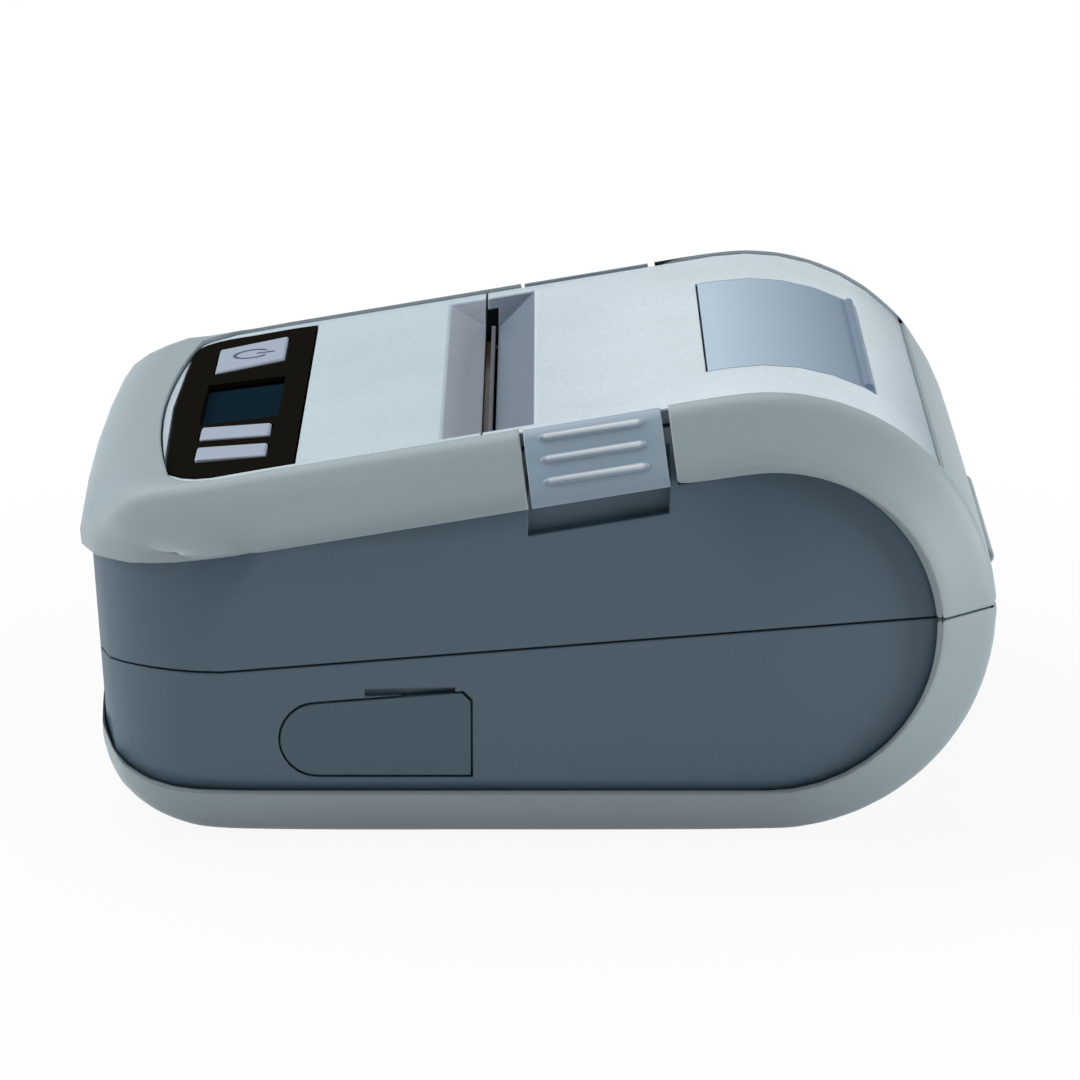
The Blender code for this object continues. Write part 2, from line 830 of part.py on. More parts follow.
def latch_rib(name, side, share):
    """A rounded grip rib that lies along the latch's face."""
    reach, inset = rim_face(share)
    middle = (latch_rear - latch_front) / 2 + latch_lean * share
    ring = circle((0.0, 0.0), latch_rib_radius, small_round_steps)
    rings = []
    for end, scale in ((-0.5, 0.5), (-0.44, 1.0), (0.44, 1.0), (0.5, 0.5)):
        x = middle + latch_rib_length * end
        z = top_height(x, inset)
        y = tapered(reach, z)
        rings.append([(x, side * y + across * scale, z + up * scale) for across, up in ring])
    return loft(name, rings)


def finger_backing(name, side):
    """The wall left standing behind the finger scoop."""
    inner = half_width - rim_thickness - finger_depth - finger_wall
    low, high = sorted((side * inner, side * (half_width + overrun)))
    base = top_height(-latch_front, rim_drop) - finger_drop - finger_wall
    outline = [(-latch_front - finger_wall, base), (latch_rear * 2, base),
               (latch_rear * 2, rear_radius * 3), (-latch_front - finger_wall, rear_radius * 3)]
    return side_prism(name, outline, low, high)


def catch_lip(name, side):
    """The lip at the latch's lower edge that a fingertip pulls outwards."""
    front = -latch_front + latch_lean + catch_lip_inset
    rear = latch_rear + latch_lean - catch_lip_inset
    base = top_height(front, rim_drop) + gap
    outline = [(front, base), (rear, base + (rear - front) * math.tan(top_slope)),
               (rear, base + (rear - front) * math.tan(top_slope) + catch_lip_height),
               (front, base + catch_lip_height)]
    inner = half_width - rim_thickness - catch_lip_depth
    low, high = sorted((side * inner, side * (half_width - rim_thickness / 2)))
    return side_prism(name, outline, low, high)


def exit_wedge(name):
    """The paper exit: a long trough with sloping sides and ends, open upwards."""
    rise = 1 + overrun / rear_radius
    floor = []
    high = []
    for across, along in ((-1, -1), (1, -1), (1, 1), (-1, 1)):
        low_x = -exit_floor_front if across < 0 else -exit_floor_rear
        rim_x = -exit_front if across < 0 else exit_rear
        low = Vector((low_x, along * exit_floor_half_width, exit_floor_height))
        rim = Vector((rim_x, along * exit_half_width, top_height(rim_x)))
        floor.append(low)
        high.append(low + (rim - low) * rise)
    return triangulated(loft(name, [floor, high]))


def triangulated(item):
    """Split every face into triangles, so that none is bent."""
    body = bmesh.new()
    body.from_mesh(item.data)
    bmesh.ops.triangulate(body, faces=body.faces)
    body.to_mesh(item.data)
    body.free()
    return item


def top_skin(name, form_drop, region_margin):
    """The thin sheet of the top between the rims, with its lower face clear of the housing."""
    skin = form_solid(name, outer_form.grown(-form_drop))
    cut(skin, form_solid("skin_bore", wall_form.grown(gap)))
    return common(skin, deck_region("skin_region", region_margin))


def exit_front_wall(name):
    """The wall under the front slope of the paper exit."""
    low_z = exit_floor_height - exit_wall
    outline = [(-exit_front - exit_wall * 2, top_height(-exit_front)),
               (-exit_front - exit_wall * 2, top_height(-exit_front) - exit_wall * 2),
               (-exit_floor_front - exit_wall * 2, low_z), (-exit_floor_rear, low_z),
               (-exit_floor_rear, top_height(exit_rear))]
    wall_block = side_prism(name, outline, -exit_block_half_width, exit_block_half_width)
    return common(wall_block, form_solid("wall_trim", outer_form.grown(-deck_recess - gap / 2)))


def top_deck(finish):
    """Silver deck with the panel seat and the front slope of the paper exit."""
    deck = top_skin("top_deck", deck_recess, gap)
    join(deck, exit_front_wall("exit_wall"))
    cut(deck, exit_wedge("exit"))
    cut(deck, rear_of("deck_end", -cover_seam_x - gap / 2, lean=False))
    cut(deck, head_clearance("head_room"))
    cut(deck, panel_slab("panel_seat", gap, panel_thickness + gap, overrun))
    cut(deck, panel_opening())
    deck.data.materials.clear()
    deck.data.materials.append(finish)
    return deck


def head_clearance(name):
    """Room under the deck for the print head and the tear bar."""
    low = (-head_face_x - head_thickness - sink_thickness - gap, -bay_half_width, sink_low)
    high = (0.0, bay_half_width, head_high + gap)
    return block(name, low, high)


def cover_shell(finish):
    """Silver paper cover with the rear slope of the paper exit and the platen's arms."""
    cover = top_skin("cover_shell", deck_recess, gap)
    lip = block("lip", (-exit_floor_rear, -exit_block_half_width, tear_low + gap * 2),
                (exit_block_rear, exit_block_half_width, rear_radius * 2))
    common(lip, form_solid("lip_trim", outer_form.grown(-deck_recess - gap / 2)))
    join(cover, lip)
    cut(cover, exit_wedge("exit"))
    common(cover, rear_of("cover_start", -cover_seam_x + gap / 2, lean=False))
    slot_low = (-cover_seam_x - gap, -exit_floor_half_width - gap * 2, 0.0)
    slot_high = (-exit_floor_rear, exit_floor_half_width + gap * 2, rear_radius * 2)
    cut(cover, block("slot", slot_low, slot_high))
    for side in (-1, 1):
        join(cover, platen_arm("arm", side))
    cut(cover, rod("shaft_hole", (-platen_x, platen_z), platen_shaft_radius + gap, -half_width, half_width))
    cut(cover, roll_window_plug("window_hole", gap, overrun))
    cover.data.materials.clear()
    cover.data.materials.append(finish)
    return cover


def platen_arm(name, side):
    """An arm under the cover that carries one end of the platen."""
    centre = (-platen_x, platen_z)
    top_front = (-platen_x - arm_radius, tear_low + gap * 3)
    outline = arc(centre, arm_radius, math.pi, math.tau, small_round_steps)
    rear_x = -platen_x + arm_radius * 3
    outline += [(rear_x, top_height(rear_x, rim_thickness)), (rear_x, top_height(rear_x, deck_recess * 2)),
                (top_front[0] + gap, top_height(top_front[0] + gap, deck_recess * 12))]
    low, high = sorted((side * arm_inner, side * arm_outer))
    return side_prism(name, outline, low, high)


def roll_window_plug(name, margin, depth):
    """A curved slab of the cover where the roll window sits."""
    slab = form_solid(name, outer_form.grown(margin))
    cut(slab, form_solid("plug_core", outer_form.grown(-deck_recess - skin_thickness - depth)))
    reach = rear_radius + overrun
    turn = roll_window_angle - margin / rear_radius
    start = roll_window_start - margin
    outline = [(start, rear_centre_z), (rear_centre_x, rear_centre_z),
               (rear_centre_x + reach * math.cos(turn), rear_centre_z + reach * math.sin(turn)),
               (rear_centre_x, rear_centre_z + reach * 2), (start, rear_centre_z + reach * 2)]
    half = roll_window_half_width + margin
    return common(slab, side_prism("plug_side", outline, -half, half))


def roll_window(finish):
    """Curved see-through window over the roll, with a raised edge at the rear."""
    window = roll_window_plug("roll_window", 0.0, 0.0)
    cut(window, form_outside("window_trim", deck_recess))
    turn = roll_window_angle
    radius = rear_radius - deck_recess
    centre = (rear_centre_x + radius * math.cos(turn + gap * 3 / radius),
              rear_centre_z + radius * math.sin(turn + gap * 3 / radius))
    half = roll_window_half_width - roll_window_ridge
    join(window, rod("ridge", centre, roll_window_ridge, -half, half, small_round_steps))
    window.data.materials.clear()
    window.data.materials.append(finish)
    return window


def form_outside(name, inset):
    """Everything outside the outer form moved in by inset."""
    reach = rear_centre_x + rear_radius + overrun
    wide = half_width + overrun
    space = block(name, (-reach, -wide, -overrun), (reach, wide, rear_radius * 3))
    return cut(space, form_solid("outside_core", outer_form.grown(-inset)))


def panel_frame():
    """Matrix of the control panel's plane: X along the slope, Z out of the panel."""
    front = Vector((-panel_front, 0.0, panel_surface(-panel_front)))
    rear = Vector((-panel_rear, 0.0, panel_surface(-panel_rear)))
    along = (rear - front).normalized()
    across = Vector((0.0, 1.0, 0.0))
    out = along.cross(across)
    frame = Matrix((along, across, out)).transposed().to_4x4()
    frame.translation = front
    return frame


def panel_surface(x):
    """Height of the deck's surface at x, in front of or behind the knee."""
    if x > -knee_reach:
        return top_height(x, deck_recess)
    knee_z = top_height(-knee_reach, deck_recess)
    low_z = deck_front_height - deck_recess
    share = (x + deck_reach) / (deck_reach - knee_reach)
    return low_z + (knee_z - low_z) * share


def panel_outline(margin):
    """Outline in the panel's plane: curved front and long edges, straight rear edge."""
    length = panel_front - panel_rear
    side_run = panel_front - panel_side_start
    half = panel_half_width + margin
    points = [(length + margin, -half), (length + margin, half)]
    front_half = []
    for step in range(shoulder_steps + 1):
        turn = math.pi / 2 * step / shoulder_steps
        x = side_run * (1 - math.sin(turn)) + panel_bulge - margin
        y = panel_front_half_width + (half - panel_front_half_width) * math.cos(turn)
        front_half.append((x, y))
    points += front_half
    points.append((0.0 - margin, 0.0))
    points += [(x, -y) for x, y in reversed(front_half)]
    return points


def on_panel(name, outline, low, high, finish=None):
    """Extrude an outline of the panel's plane between two heights above it."""
    frame = panel_frame()
    rings = [[tuple(frame @ Vector((x, y, level))) for x, y in outline] for level in (low, high)]
    return loft(name, rings, finish)


def panel_slab(name, margin, depth, rise):
    return on_panel(name, panel_outline(margin), -depth, rise)


def key_outline(centre_y, size, skew, margin):
    """A key's outline: a slanted rectangle."""
    middle = (panel_front - panel_rear) * key_centre_share
    half_length = size[0] / 2 + margin
    half_height = size[1] / 2 + margin
    corners = ((-1, -1), (1, -1), (1, 1), (-1, 1))
    return [(middle + along * half_length, centre_y + across * half_height + along * skew / 2)
            for along, across in corners]


def keys():
    return (("power_key", power_key_y, power_key_size, power_key_skew),
            ("feed_key", feed_key_y, slim_key_size, slim_key_skew),
            ("enter_key", enter_key_y, slim_key_size, slim_key_skew))


def control_panel(finish):
    """Black panel sheet with openings for the keys and the display."""
    panel = on_panel("control_panel", panel_outline(0.0), -panel_thickness, 0.0, finish)
    cut(panel, form_outside("panel_trim", deck_recess - gap / 3))
    for name, centre_y, size, skew in keys():
        cut(panel, on_panel(name + "_hole", key_outline(centre_y, size, skew, key_gap), -overrun, overrun))
    cut(panel, on_panel("display_hole", key_outline(display_y, display_size, 0.0, 0.0), -overrun, overrun))
    return panel


def panel_parts(finishes):
    """Keys, display and the board behind the panel."""
    for name, centre_y, size, skew in keys():
        body = on_panel(name, key_outline(centre_y, size, skew, 0.0), -key_depth, key_proud, finishes["key"])
        bevel = body.modifiers.new("edge", "BEVEL")
        bevel.width = key_gap
        bevel.segments = 1
        settle(body)
    on_panel("display_module", key_outline(display_y, display_size, 0.0, panel_thickness),
             -panel_thickness - gap - display_thickness, -panel_thickness - gap, finishes["display"])
    length = panel_front - panel_rear - panel_thickness * 9
    width = (panel_front_half_width - panel_thickness) * 2
    outline = key_outline(0.0, (length, width), 0.0, 0.0)
    low = -panel_board_depth - board_thickness
    on_panel("panel_board", outline, low, -panel_board_depth, finishes["board"])


def coil_spring(name, start, end, finish):
    """A short helical spring with plain ends between two points along X."""
    points_per_turn = 8
    ring_steps = 4
    count = spring_turns * points_per_turn
    along = Vector((1, 0, 0))
    rings = []
    for step in range(count + 1):
        turn = math.tau * step / points_per_turn
        out = Vector((0.0, math.cos(turn), math.sin(turn)))
        centre = Vector(start).lerp(Vector(end), step / count) + out * spring_radius
        ring = []
        for across, lengthwise in circle((0.0, 0.0), spring_wire, ring_steps):
            ring.append(centre + out * across + along * lengthwise)
        rings.append(ring)
    return loft(name, rings, finish)


def sink_face():
    return -head_face_x - head_thickness - gap


def print_head(finishes):
    """Ceramic head bar, its heat sink, the tear bar and the springs that press the head."""
    block("print_head", (-head_face_x - head_thickness, -head_half_width, head_low),
          (-head_face_x, head_half_width, head_high), finishes["ceramic"])
    sink = block("head_heat_sink", (sink_face() - sink_thickness, -head_half_width, sink_low),
                 (sink_face(), head_half_width, head_high), finishes["aluminium"])
    for side in (-1, 1):
        start = (-frame_base_front + frame_sheet + spring_wire + gap, side * spring_offset, spring_height)
        end = (sink_face() - sink_thickness - spring_wire - gap, side * spring_offset, spring_height)
        name = "head_spring_near" if side < 0 else "head_spring_far"
        coil_spring(name, start, end, finishes["steel"])
    return sink


def tear_bar(finish):
    """Steel blade with a toothed upper edge along the front lip of the paper exit."""
    rear = -exit_floor_front + tear_thickness + gap * 2
    tooth = exit_floor_half_width * 2 / tear_teeth
    outline = [(-exit_floor_half_width, tear_low), (exit_floor_half_width, tear_low)]
    for place in range(tear_teeth, 0, -1):
        y = -exit_floor_half_width + tooth * place
        outline.append((y, tear_high - tooth / 4))
        outline.append((y - tooth / 2, tear_high))
    outline.append((-exit_floor_half_width, tear_high - tooth / 4))
    rings = [[(x, y, z) for y, z in outline] for x in (rear - tear_thickness, rear)]
    return loft("tear_bar", rings, finish)


def gear_places():
    """Centres of the idler and the motor in the (x, z) plane, from the platen."""
    reach = (idler_small_teeth + platen_gear_teeth) * gear_module / 2 + gear_backlash
    toward = Vector((-idler_x + platen_x, idler_z - platen_z)).normalized()
    idler = Vector((-platen_x, platen_z)) + toward * reach
    motor_reach = (idler_large_teeth + pinion_teeth) * gear_module / 2 + gear_backlash
    motor = idler + Vector((math.cos(motor_angle), math.sin(motor_angle))) * motor_reach
    return (idler.x, idler.y), (motor.x, motor.y)


def mesh_turn(centre, other, teeth, on_tooth):
    """Turn of a gear that puts a tooth, or a gap, on the line to the other gear."""
    angle = math.atan2(other[1] - centre[1], other[0] - centre[0])
    return angle if on_tooth else angle + math.pi / teeth


def gear_train(finishes):
    """Motor pinion, compound idler and the gear on the platen's shaft."""
    platen = (-platen_x, platen_z)
    idler, motor = gear_places()
    gear("platen_gear", platen, platen_gear_teeth, small_gear_start, small_gear_end,
         mesh_turn(platen, idler, platen_gear_teeth, True), platen_shaft_radius + gap, finishes["nylon"])
    compound = gear("idler_gear", idler, idler_small_teeth, small_gear_start, small_gear_end,
                    mesh_turn(idler, platen, idler_small_teeth, False), 0.0, finishes["nylon"])
    large = gear("idler_large", idler, idler_large_teeth, large_gear_start, large_gear_end,
                 mesh_turn(idler, motor, idler_large_teeth, False), 0.0)
    join(large, rod("idler_hub", idler, gear_module * idler_small_teeth / 2.6, small_gear_end - gap,
                    large_gear_end - gap, round_steps))
    join(compound, large)
    cut(compound, rod("idler_bore", idler, idler_pin_radius + gap, small_gear_start - overrun,
                      large_gear_end + overrun))
    pinion = gear("motor_pinion", motor, pinion_teeth, large_gear_start, large_gear_end,
                  mesh_turn(motor, idler, pinion_teeth, True), 0.0, finishes["brass"])
    join(pinion, rod("motor_shaft", motor, motor_shaft_radius, motor_end + gap * 2, large_gear_start + gap))
    rod("idler_pin", idler, idler_pin_radius, frame_inner + frame_sheet + gap, large_gear_end,
        small_round_steps, finishes["steel"])


def step_motor(finish):
    """Stepper motor that drives the platen: round can with a mounting flange."""
    _, motor = gear_places()
    can = rod("stepper_motor", motor, motor_radius, motor_start, motor_end, round_steps, finish)
    flange_low = motor_end - frame_sheet
    outline = [(motor[0] - motor_radius * 1.3, motor[1] - motor_radius / 2),
               (motor[0] + motor_radius * 1.0, motor[1] - motor_radius / 2),
               (motor[0] + motor_radius * 1.0, motor[1] + motor_radius / 2),
               (motor[0] - motor_radius * 1.3, motor[1] + motor_radius / 2)]
    join(can, side_prism("flange", outline, flange_low, motor_end))
    return can


def platen(finishes):
    """Rubber feed roller on a steel shaft, with a bush at each end."""
    centre = (-platen_x, platen_z)
    rod("platen_shaft", centre, platen_shaft_radius, -platen_shaft_reach, platen_shaft_reach,
        small_round_steps, finishes["steel"])
    roller = rod("platen_roller", centre, platen_radius, -platen_half_length, platen_half_length, bay_steps,
                 finishes["rubber"])
    cut(roller, rod("roller_bore", centre, platen_shaft_radius + gap, -half_width, half_width))
    for side, name in ((-1, "platen_bush_near"), (1, "platen_bush_far")):
        low, high = sorted((side * bush_inner, side * bush_outer))
        bush = rod(name, centre, bush_radius, low, high, round_steps, finishes["brass"])
        cut(bush, rod("bush_bore", centre, platen_shaft_radius + gap, -half_width, half_width))


def frame_side(name, side, front):
    """One upright of the steel frame with an open seat for the platen's bush."""
    seat = bush_radius + gap
    left = -platen_x - seat
    right = -platen_x + seat
    outline = [(front, frame_base_height - frame_sheet), (0.0, frame_base_height - frame_sheet),
               (frame_rear, platen_z - seat * 1.6), (frame_rear, platen_z)]
    outline += arc((-platen_x, platen_z), seat, 0.0, -math.pi, small_round_steps)
    outline += [(left, frame_top), (front + frame_sheet, frame_top - frame_base_rear * 2),
                (front, frame_top / 1.12)]
    low, high = sorted((side * frame_inner, side * (frame_inner + frame_sheet)))
    return side_prism(name, outline, low, high)


def mech_frame(finish):
    """Bent steel frame: base, two uprights and the tab behind the head springs."""
    idler, motor = gear_places()
    wide = frame_inner + frame_sheet
    base_low = frame_base_height - frame_sheet
    frame = block("mech_frame", (-frame_base_front, -wide, base_low),
                  (-frame_base_rear, wide, frame_base_height), finish)
    tab = block("tab", (-frame_base_front, -spring_tab_half_width, base_low),
                (-frame_base_front + frame_sheet, spring_tab_half_width, head_high - frame_sheet * 2))
    join(frame, tab)
    join(frame, frame_side("side", -1, -frame_base_front))
    far_front = motor[0] - motor_radius * 1.3
    join(frame, frame_side("side", 1, far_front))
    room_low = (far_front - overrun, motor_start - gap, motor[1] - motor_radius - gap * 2)
    room_high = (motor[0] + motor_radius + gap, motor_end + gap, motor[1] + motor_radius + gap * 2)
    cut(frame, block("motor_room", room_low, room_high))
    cut(frame, rod("pinion_room", motor, motor_shaft_radius + gap * 2, 0.0, half_width))
    trim_z = seam_height - seam_slope * nose_reach / 4 + gap
    cut(frame, block("shaft_trim", (far_front - overrun, motor_start, 0.0),
                     (far_front + motor_radius * 2, half_width, trim_z)))
    return frame


def boards(finishes):
    """Main board above the battery and the small board behind the sockets."""
    block("main_board", (-main_board_front, -main_board_half_width, main_board_height),
          (-main_board_rear, main_board_half_width, main_board_height + board_thickness), finishes["board"])
    block("port_board", (dc_x - dc_width / 1.6, -port_board_depth, flap_low),
          (usb_x + usb_width / 1.4, -port_board_depth + board_thickness, flap_rear_high), finishes["board"])


def sockets(finishes):
    """Power jack and data socket behind the flap, open to the outside."""
    rear = -port_board_depth - gap
    jack = block("dc_socket", (dc_x - dc_width / 2, -socket_face, socket_height - dc_width / 2),
                 (dc_x + dc_width / 2, rear, socket_height + dc_width / 2), finishes["black"])
    centre = (dc_x, socket_height)
    cut(jack, rod("jack_bore", centre, dc_radius, -half_width, rear - board_thickness))
    join(jack, rod("jack_pin", centre, dc_radius / 4, -socket_face + board_thickness,
                   rear - board_thickness / 2, small_round_steps // 2))
    shell = block("usb_socket", (usb_x - usb_width / 2, -socket_face, socket_height - usb_height / 2),
                  (usb_x + usb_width / 2, rear, socket_height + usb_height / 2), finishes["steel"])
    half_x = usb_width / 2 - gap * 2
    half_z = usb_height / 2 - gap * 2
    cut(shell, block("usb_bore", (usb_x - half_x, -half_width, socket_height - half_z),
                     (usb_x + half_x, rear - board_thickness, socket_height + half_z)))
    tongue_low = (usb_x - usb_width / 4, -socket_face + board_thickness, socket_height - gap * 2)
    tongue_high = (usb_x + usb_width / 4, rear - board_thickness / 2, socket_height + gap * 2)
    join(shell, block("usb_tongue", tongue_low, tongue_high))


def battery(finishes):
    """Battery pack that forms part of the base, with its sliding catch."""
    pack = block("battery_pack", (-battery_front, -battery_half_width, battery_recess),
                 (-battery_rear, battery_half_width, battery_top), finishes["black"])
    pad_x = -battery_front + latch_pad_length
    room_low = (pad_x - latch_pad_length + gap, -latch_pad_width / 2 - gap, -overrun)
    room_high = (pad_x + latch_pad_length, latch_pad_width / 2 + gap,
                 battery_recess + latch_pad_thickness + gap)
    cut(pack, block("catch_room", room_low, room_high))
    catch_low = (pad_x - latch_pad_length / 3, -latch_pad_width / 2, battery_recess)
    catch_high = (pad_x + latch_pad_length / 3, latch_pad_width / 2, battery_recess + latch_pad_thickness)
    catch = block("battery_catch", catch_low, catch_high, finishes["black"])
    for place in range(3):
        x = pad_x + (place - 1) * latch_pad_length / 6
        cut(catch, block("grip", (x - gap, -latch_pad_width, -overrun),
                         (x + gap, latch_pad_width, battery_recess + gap)))


def screws(finish):
    """Four screws from below that hold the housings together."""
    for index, (x, y, seat) in enumerate(screw_places()):
        low = seat - screw_head_height - gap
        profile = ((screw_head_radius, low), (screw_head_radius, seat - gap), (screw_radius, seat - gap),
                   (screw_radius, screw_top - screw_radius), (screw_radius / 3, screw_top))
        rings = []
        for radius, z in profile:
            rings.append([(px, py, z) for px, py in circle((x, y), radius, small_round_steps)])
        screw = loft(f"housing_screw_{index + 1}", rings, finish)
        slot = screw_head_radius / 4
        reach = screw_head_radius / 1.6
        top = low + reach / 2
        for half_x, half_y in ((slot, reach), (reach, slot)):
            cut(screw, block("drive", (x - half_x, y - half_y, 0.0), (x + half_x, y + half_y, top)))


def put_on_axis(name, place, carried, parent=None):
    """An empty on a joint's axis, which carries the pieces that move about it."""
    axis = bpy.data.objects.new(name, None)
    axis.location = place
    axis.empty_display_size = platen_radius
    bpy.context.collection.objects.link(axis)
    if parent:
        carry(parent, axis)
    for part_name in carried:
        carry(axis, bpy.data.objects[part_name])
    return axis


def carry(axis, item):
    """Parent an object to an axis and leave it where it is."""
    bpy.context.view_layer.update()
    item.parent = axis
    item.matrix_parent_inverse = axis.matrix_world.inverted()


def joint_axes():
    """Put every moving piece on the axis that it turns about or slides along."""
    cover = put_on_axis("cover_axis", (hinge_x, 0.0, hinge_z),
                        ("cover_shell", "cover_rim", "roll_window", "platen_bush_near", "platen_bush_far"))
    put_on_axis("platen_axis", (-platen_x, 0.0, platen_z),
                ("platen_shaft", "platen_roller", "platen_gear"), cover)
    middle = (latch_rear - latch_front) / 2
    for side, name in ((-1, "latch_near"), (1, "latch_far")):
        put_on_axis(name + "_axis", (middle, side * latch_hinge_y, top_height(middle)), (name,), cover)
    idler, motor = gear_places()
    put_on_axis("idler_axis", (idler[0], small_gear_end, idler[1]), ("idler_gear",))
    put_on_axis("pinion_axis", (motor[0], small_gear_end, motor[1]), ("motor_pinion",))
    put_on_axis("head_axis", (-head_face_x, 0.0, spring_height), ("print_head", "head_heat_sink"))
    frame = panel_frame()
    key_x = (panel_front - panel_rear) * key_centre_share
    for name, centre_y, _, _ in keys():
        put_on_axis(name + "_axis", frame @ Vector((key_x, centre_y, 0.0)), (name,))
    flap_z = (flap_low + flap_front_high) / 2
    put_on_axis("flap_axis", (-flap_front, -tapered(wall_form.width, flap_z), flap_z), ("port_flap",))
    put_on_axis("catch_axis", (-battery_front + latch_pad_length, 0.0, battery_recess), ("battery_catch",))


def set_smooth():
    for item in bpy.data.objects:
        if item.type == "MESH":
            item.data.shade_smooth()
            item.data.set_sharp_from_angle(angle=math.radians(28))


def build():
    clear_scene()
    finishes = {
        "dark": material("dark_housing", (0.075, 0.115, 0.150), 0.62),
        "rim": material("light_rim", (0.36, 0.45, 0.50), 0.50),
        "silver": material("silver_paint", (0.60, 0.70, 0.75), 0.38, 0.35),
        "latch": material("latch", (0.22, 0.30, 0.37), 0.45),
        "panel": material("panel_black", (0.010, 0.009, 0.007), 0.15),
        "key": material("key_white", (0.55, 0.58, 0.62), 0.40),
        "display": material("display_glass", (0.008, 0.020, 0.030), 0.08),
        "window": material("smoke_window", (0.42, 0.52, 0.60), 0.25, 0.0, 0.85),
        "flap": material("flap_rubber", (0.080, 0.120, 0.155), 0.75),
        "rubber": material("roller_rubber", (0.03, 0.03, 0.03), 0.80),
        "steel": material("steel", (0.62, 0.63, 0.64), 0.30, 1.0),
        "aluminium": material("aluminium", (0.75, 0.75, 0.76), 0.40, 1.0),
        "brass": material("brass", (0.70, 0.55, 0.25), 0.30, 1.0),
        "nylon": material("white_nylon", (0.80, 0.80, 0.76), 0.50),
        "ceramic": material("head_ceramic", (0.18, 0.12, 0.08), 0.25),
        "board": material("circuit_board", (0.02, 0.16, 0.07), 0.45),
        "black": material("black_plastic", (0.02, 0.02, 0.02), 0.50),
    }
    lower_housing(finishes["dark"])
    upper_housing(finishes["dark"])
    rim_pieces(finishes["rim"])
    latch("latch_near", -1, finishes["latch"])
    latch("latch_far", 1, finishes["latch"])
    top_deck(finishes["silver"])
    cover_shell(finishes["silver"])
    roll_window(finishes["window"])
    control_panel(finishes["panel"])
    panel_parts(finishes)
    print_head(finishes)
    tear_bar(finishes["steel"])
    gear_train(finishes)
    step_motor(finishes["steel"])
    platen(finishes)
    mech_frame(finishes["steel"])
    boards(finishes)
    sockets(finishes)
    battery(finishes)
    screws(finishes["steel"])
    flap = flap_solid("port_flap", 0.0, flap_thickness)
    flap.data.materials.append(finishes["flap"])
    rod("hinge_pin", (hinge_x, hinge_z), hinge_pin_radius, -hinge_half_width, hinge_half_width,
        small_round_steps, finishes["steel"])
    set_smooth()
    joint_axes()


build()
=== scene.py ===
# %% [markdown]
# # A portable thermal printer
# This file dresses a small printer for paper rolls 80 mm wide. The solids come from a
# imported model, in metres, with the front of the printer towards -X and the camera
# side towards -Y. Each step below first says what a piece or a finish is on the real
# printer, and then makes it.

# %% Load the fixed model
import json
import math

import bmesh
import bpy
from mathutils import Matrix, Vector


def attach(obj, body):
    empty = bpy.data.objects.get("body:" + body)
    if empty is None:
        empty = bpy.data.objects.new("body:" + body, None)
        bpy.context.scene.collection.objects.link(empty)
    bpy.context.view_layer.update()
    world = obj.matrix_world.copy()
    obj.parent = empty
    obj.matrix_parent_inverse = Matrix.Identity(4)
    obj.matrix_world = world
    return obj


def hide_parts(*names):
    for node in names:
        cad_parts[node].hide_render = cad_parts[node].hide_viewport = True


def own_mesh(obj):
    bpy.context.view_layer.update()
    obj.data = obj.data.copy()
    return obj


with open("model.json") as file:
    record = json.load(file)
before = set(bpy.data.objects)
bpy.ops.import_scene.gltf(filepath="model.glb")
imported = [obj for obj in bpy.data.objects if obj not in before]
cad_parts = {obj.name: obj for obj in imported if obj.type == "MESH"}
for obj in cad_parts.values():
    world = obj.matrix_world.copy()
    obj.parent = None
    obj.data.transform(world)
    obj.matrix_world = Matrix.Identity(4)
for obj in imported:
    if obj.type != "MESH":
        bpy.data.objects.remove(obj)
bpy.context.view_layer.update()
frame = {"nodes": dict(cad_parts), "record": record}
nodes = frame["nodes"]

# %% [markdown]
# ## Measures
# Small lengths are easier to read in millimetres, so one helper turns them into metres.

# %% Millimetres
MM = 0.001


def mm(*values):
    """One length, or a tuple of lengths, given in millimetres."""
    metres = tuple(value * MM for value in values)
    return metres[0] if len(metres) == 1 else metres


print("one millimetre is", mm(1), "m")

# %% [markdown]
# ## Shader groups
# Moulded plastic is never quite even. The mould leaves a fine grain, the colour drifts
# a little, and handling polishes some places. One node group gives all three, and each
# material places it with its own values. A group keeps such an effect in one place, so
# that a change reaches every finish that uses it.

# %% A helper for node groups
def new_group(name, inputs, outputs):
    """An empty shader node group with named sockets and its two end nodes."""
    group = bpy.data.node_groups.new(name, "ShaderNodeTree")
    for label, value in inputs:
        socket = group.interface.new_socket(label, in_out="INPUT", socket_type="NodeSocketFloat")
        socket.default_value = value
    for label, kind in outputs:
        group.interface.new_socket(label, in_out="OUTPUT", socket_type=kind)
    start = group.nodes.new("NodeGroupInput")
    end = group.nodes.new("NodeGroupOutput")
    return group, start, end


def join_sockets(group, *pairs):
    """Link the first socket of each pair to the second."""
    for source, target in pairs:
        group.links.new(source, target)


def math_node(group, operation, first, second):
    """A Math node whose two inputs are sockets or plain numbers."""
    node = group.nodes.new("ShaderNodeMath")
    node.operation = operation
    for index, value in enumerate((first, second)):
        if isinstance(value, (int, float)):
            node.inputs[index].default_value = value
        else:
            group.links.new(value, node.inputs[index])
    return node.outputs[0]


print("group helpers ready")

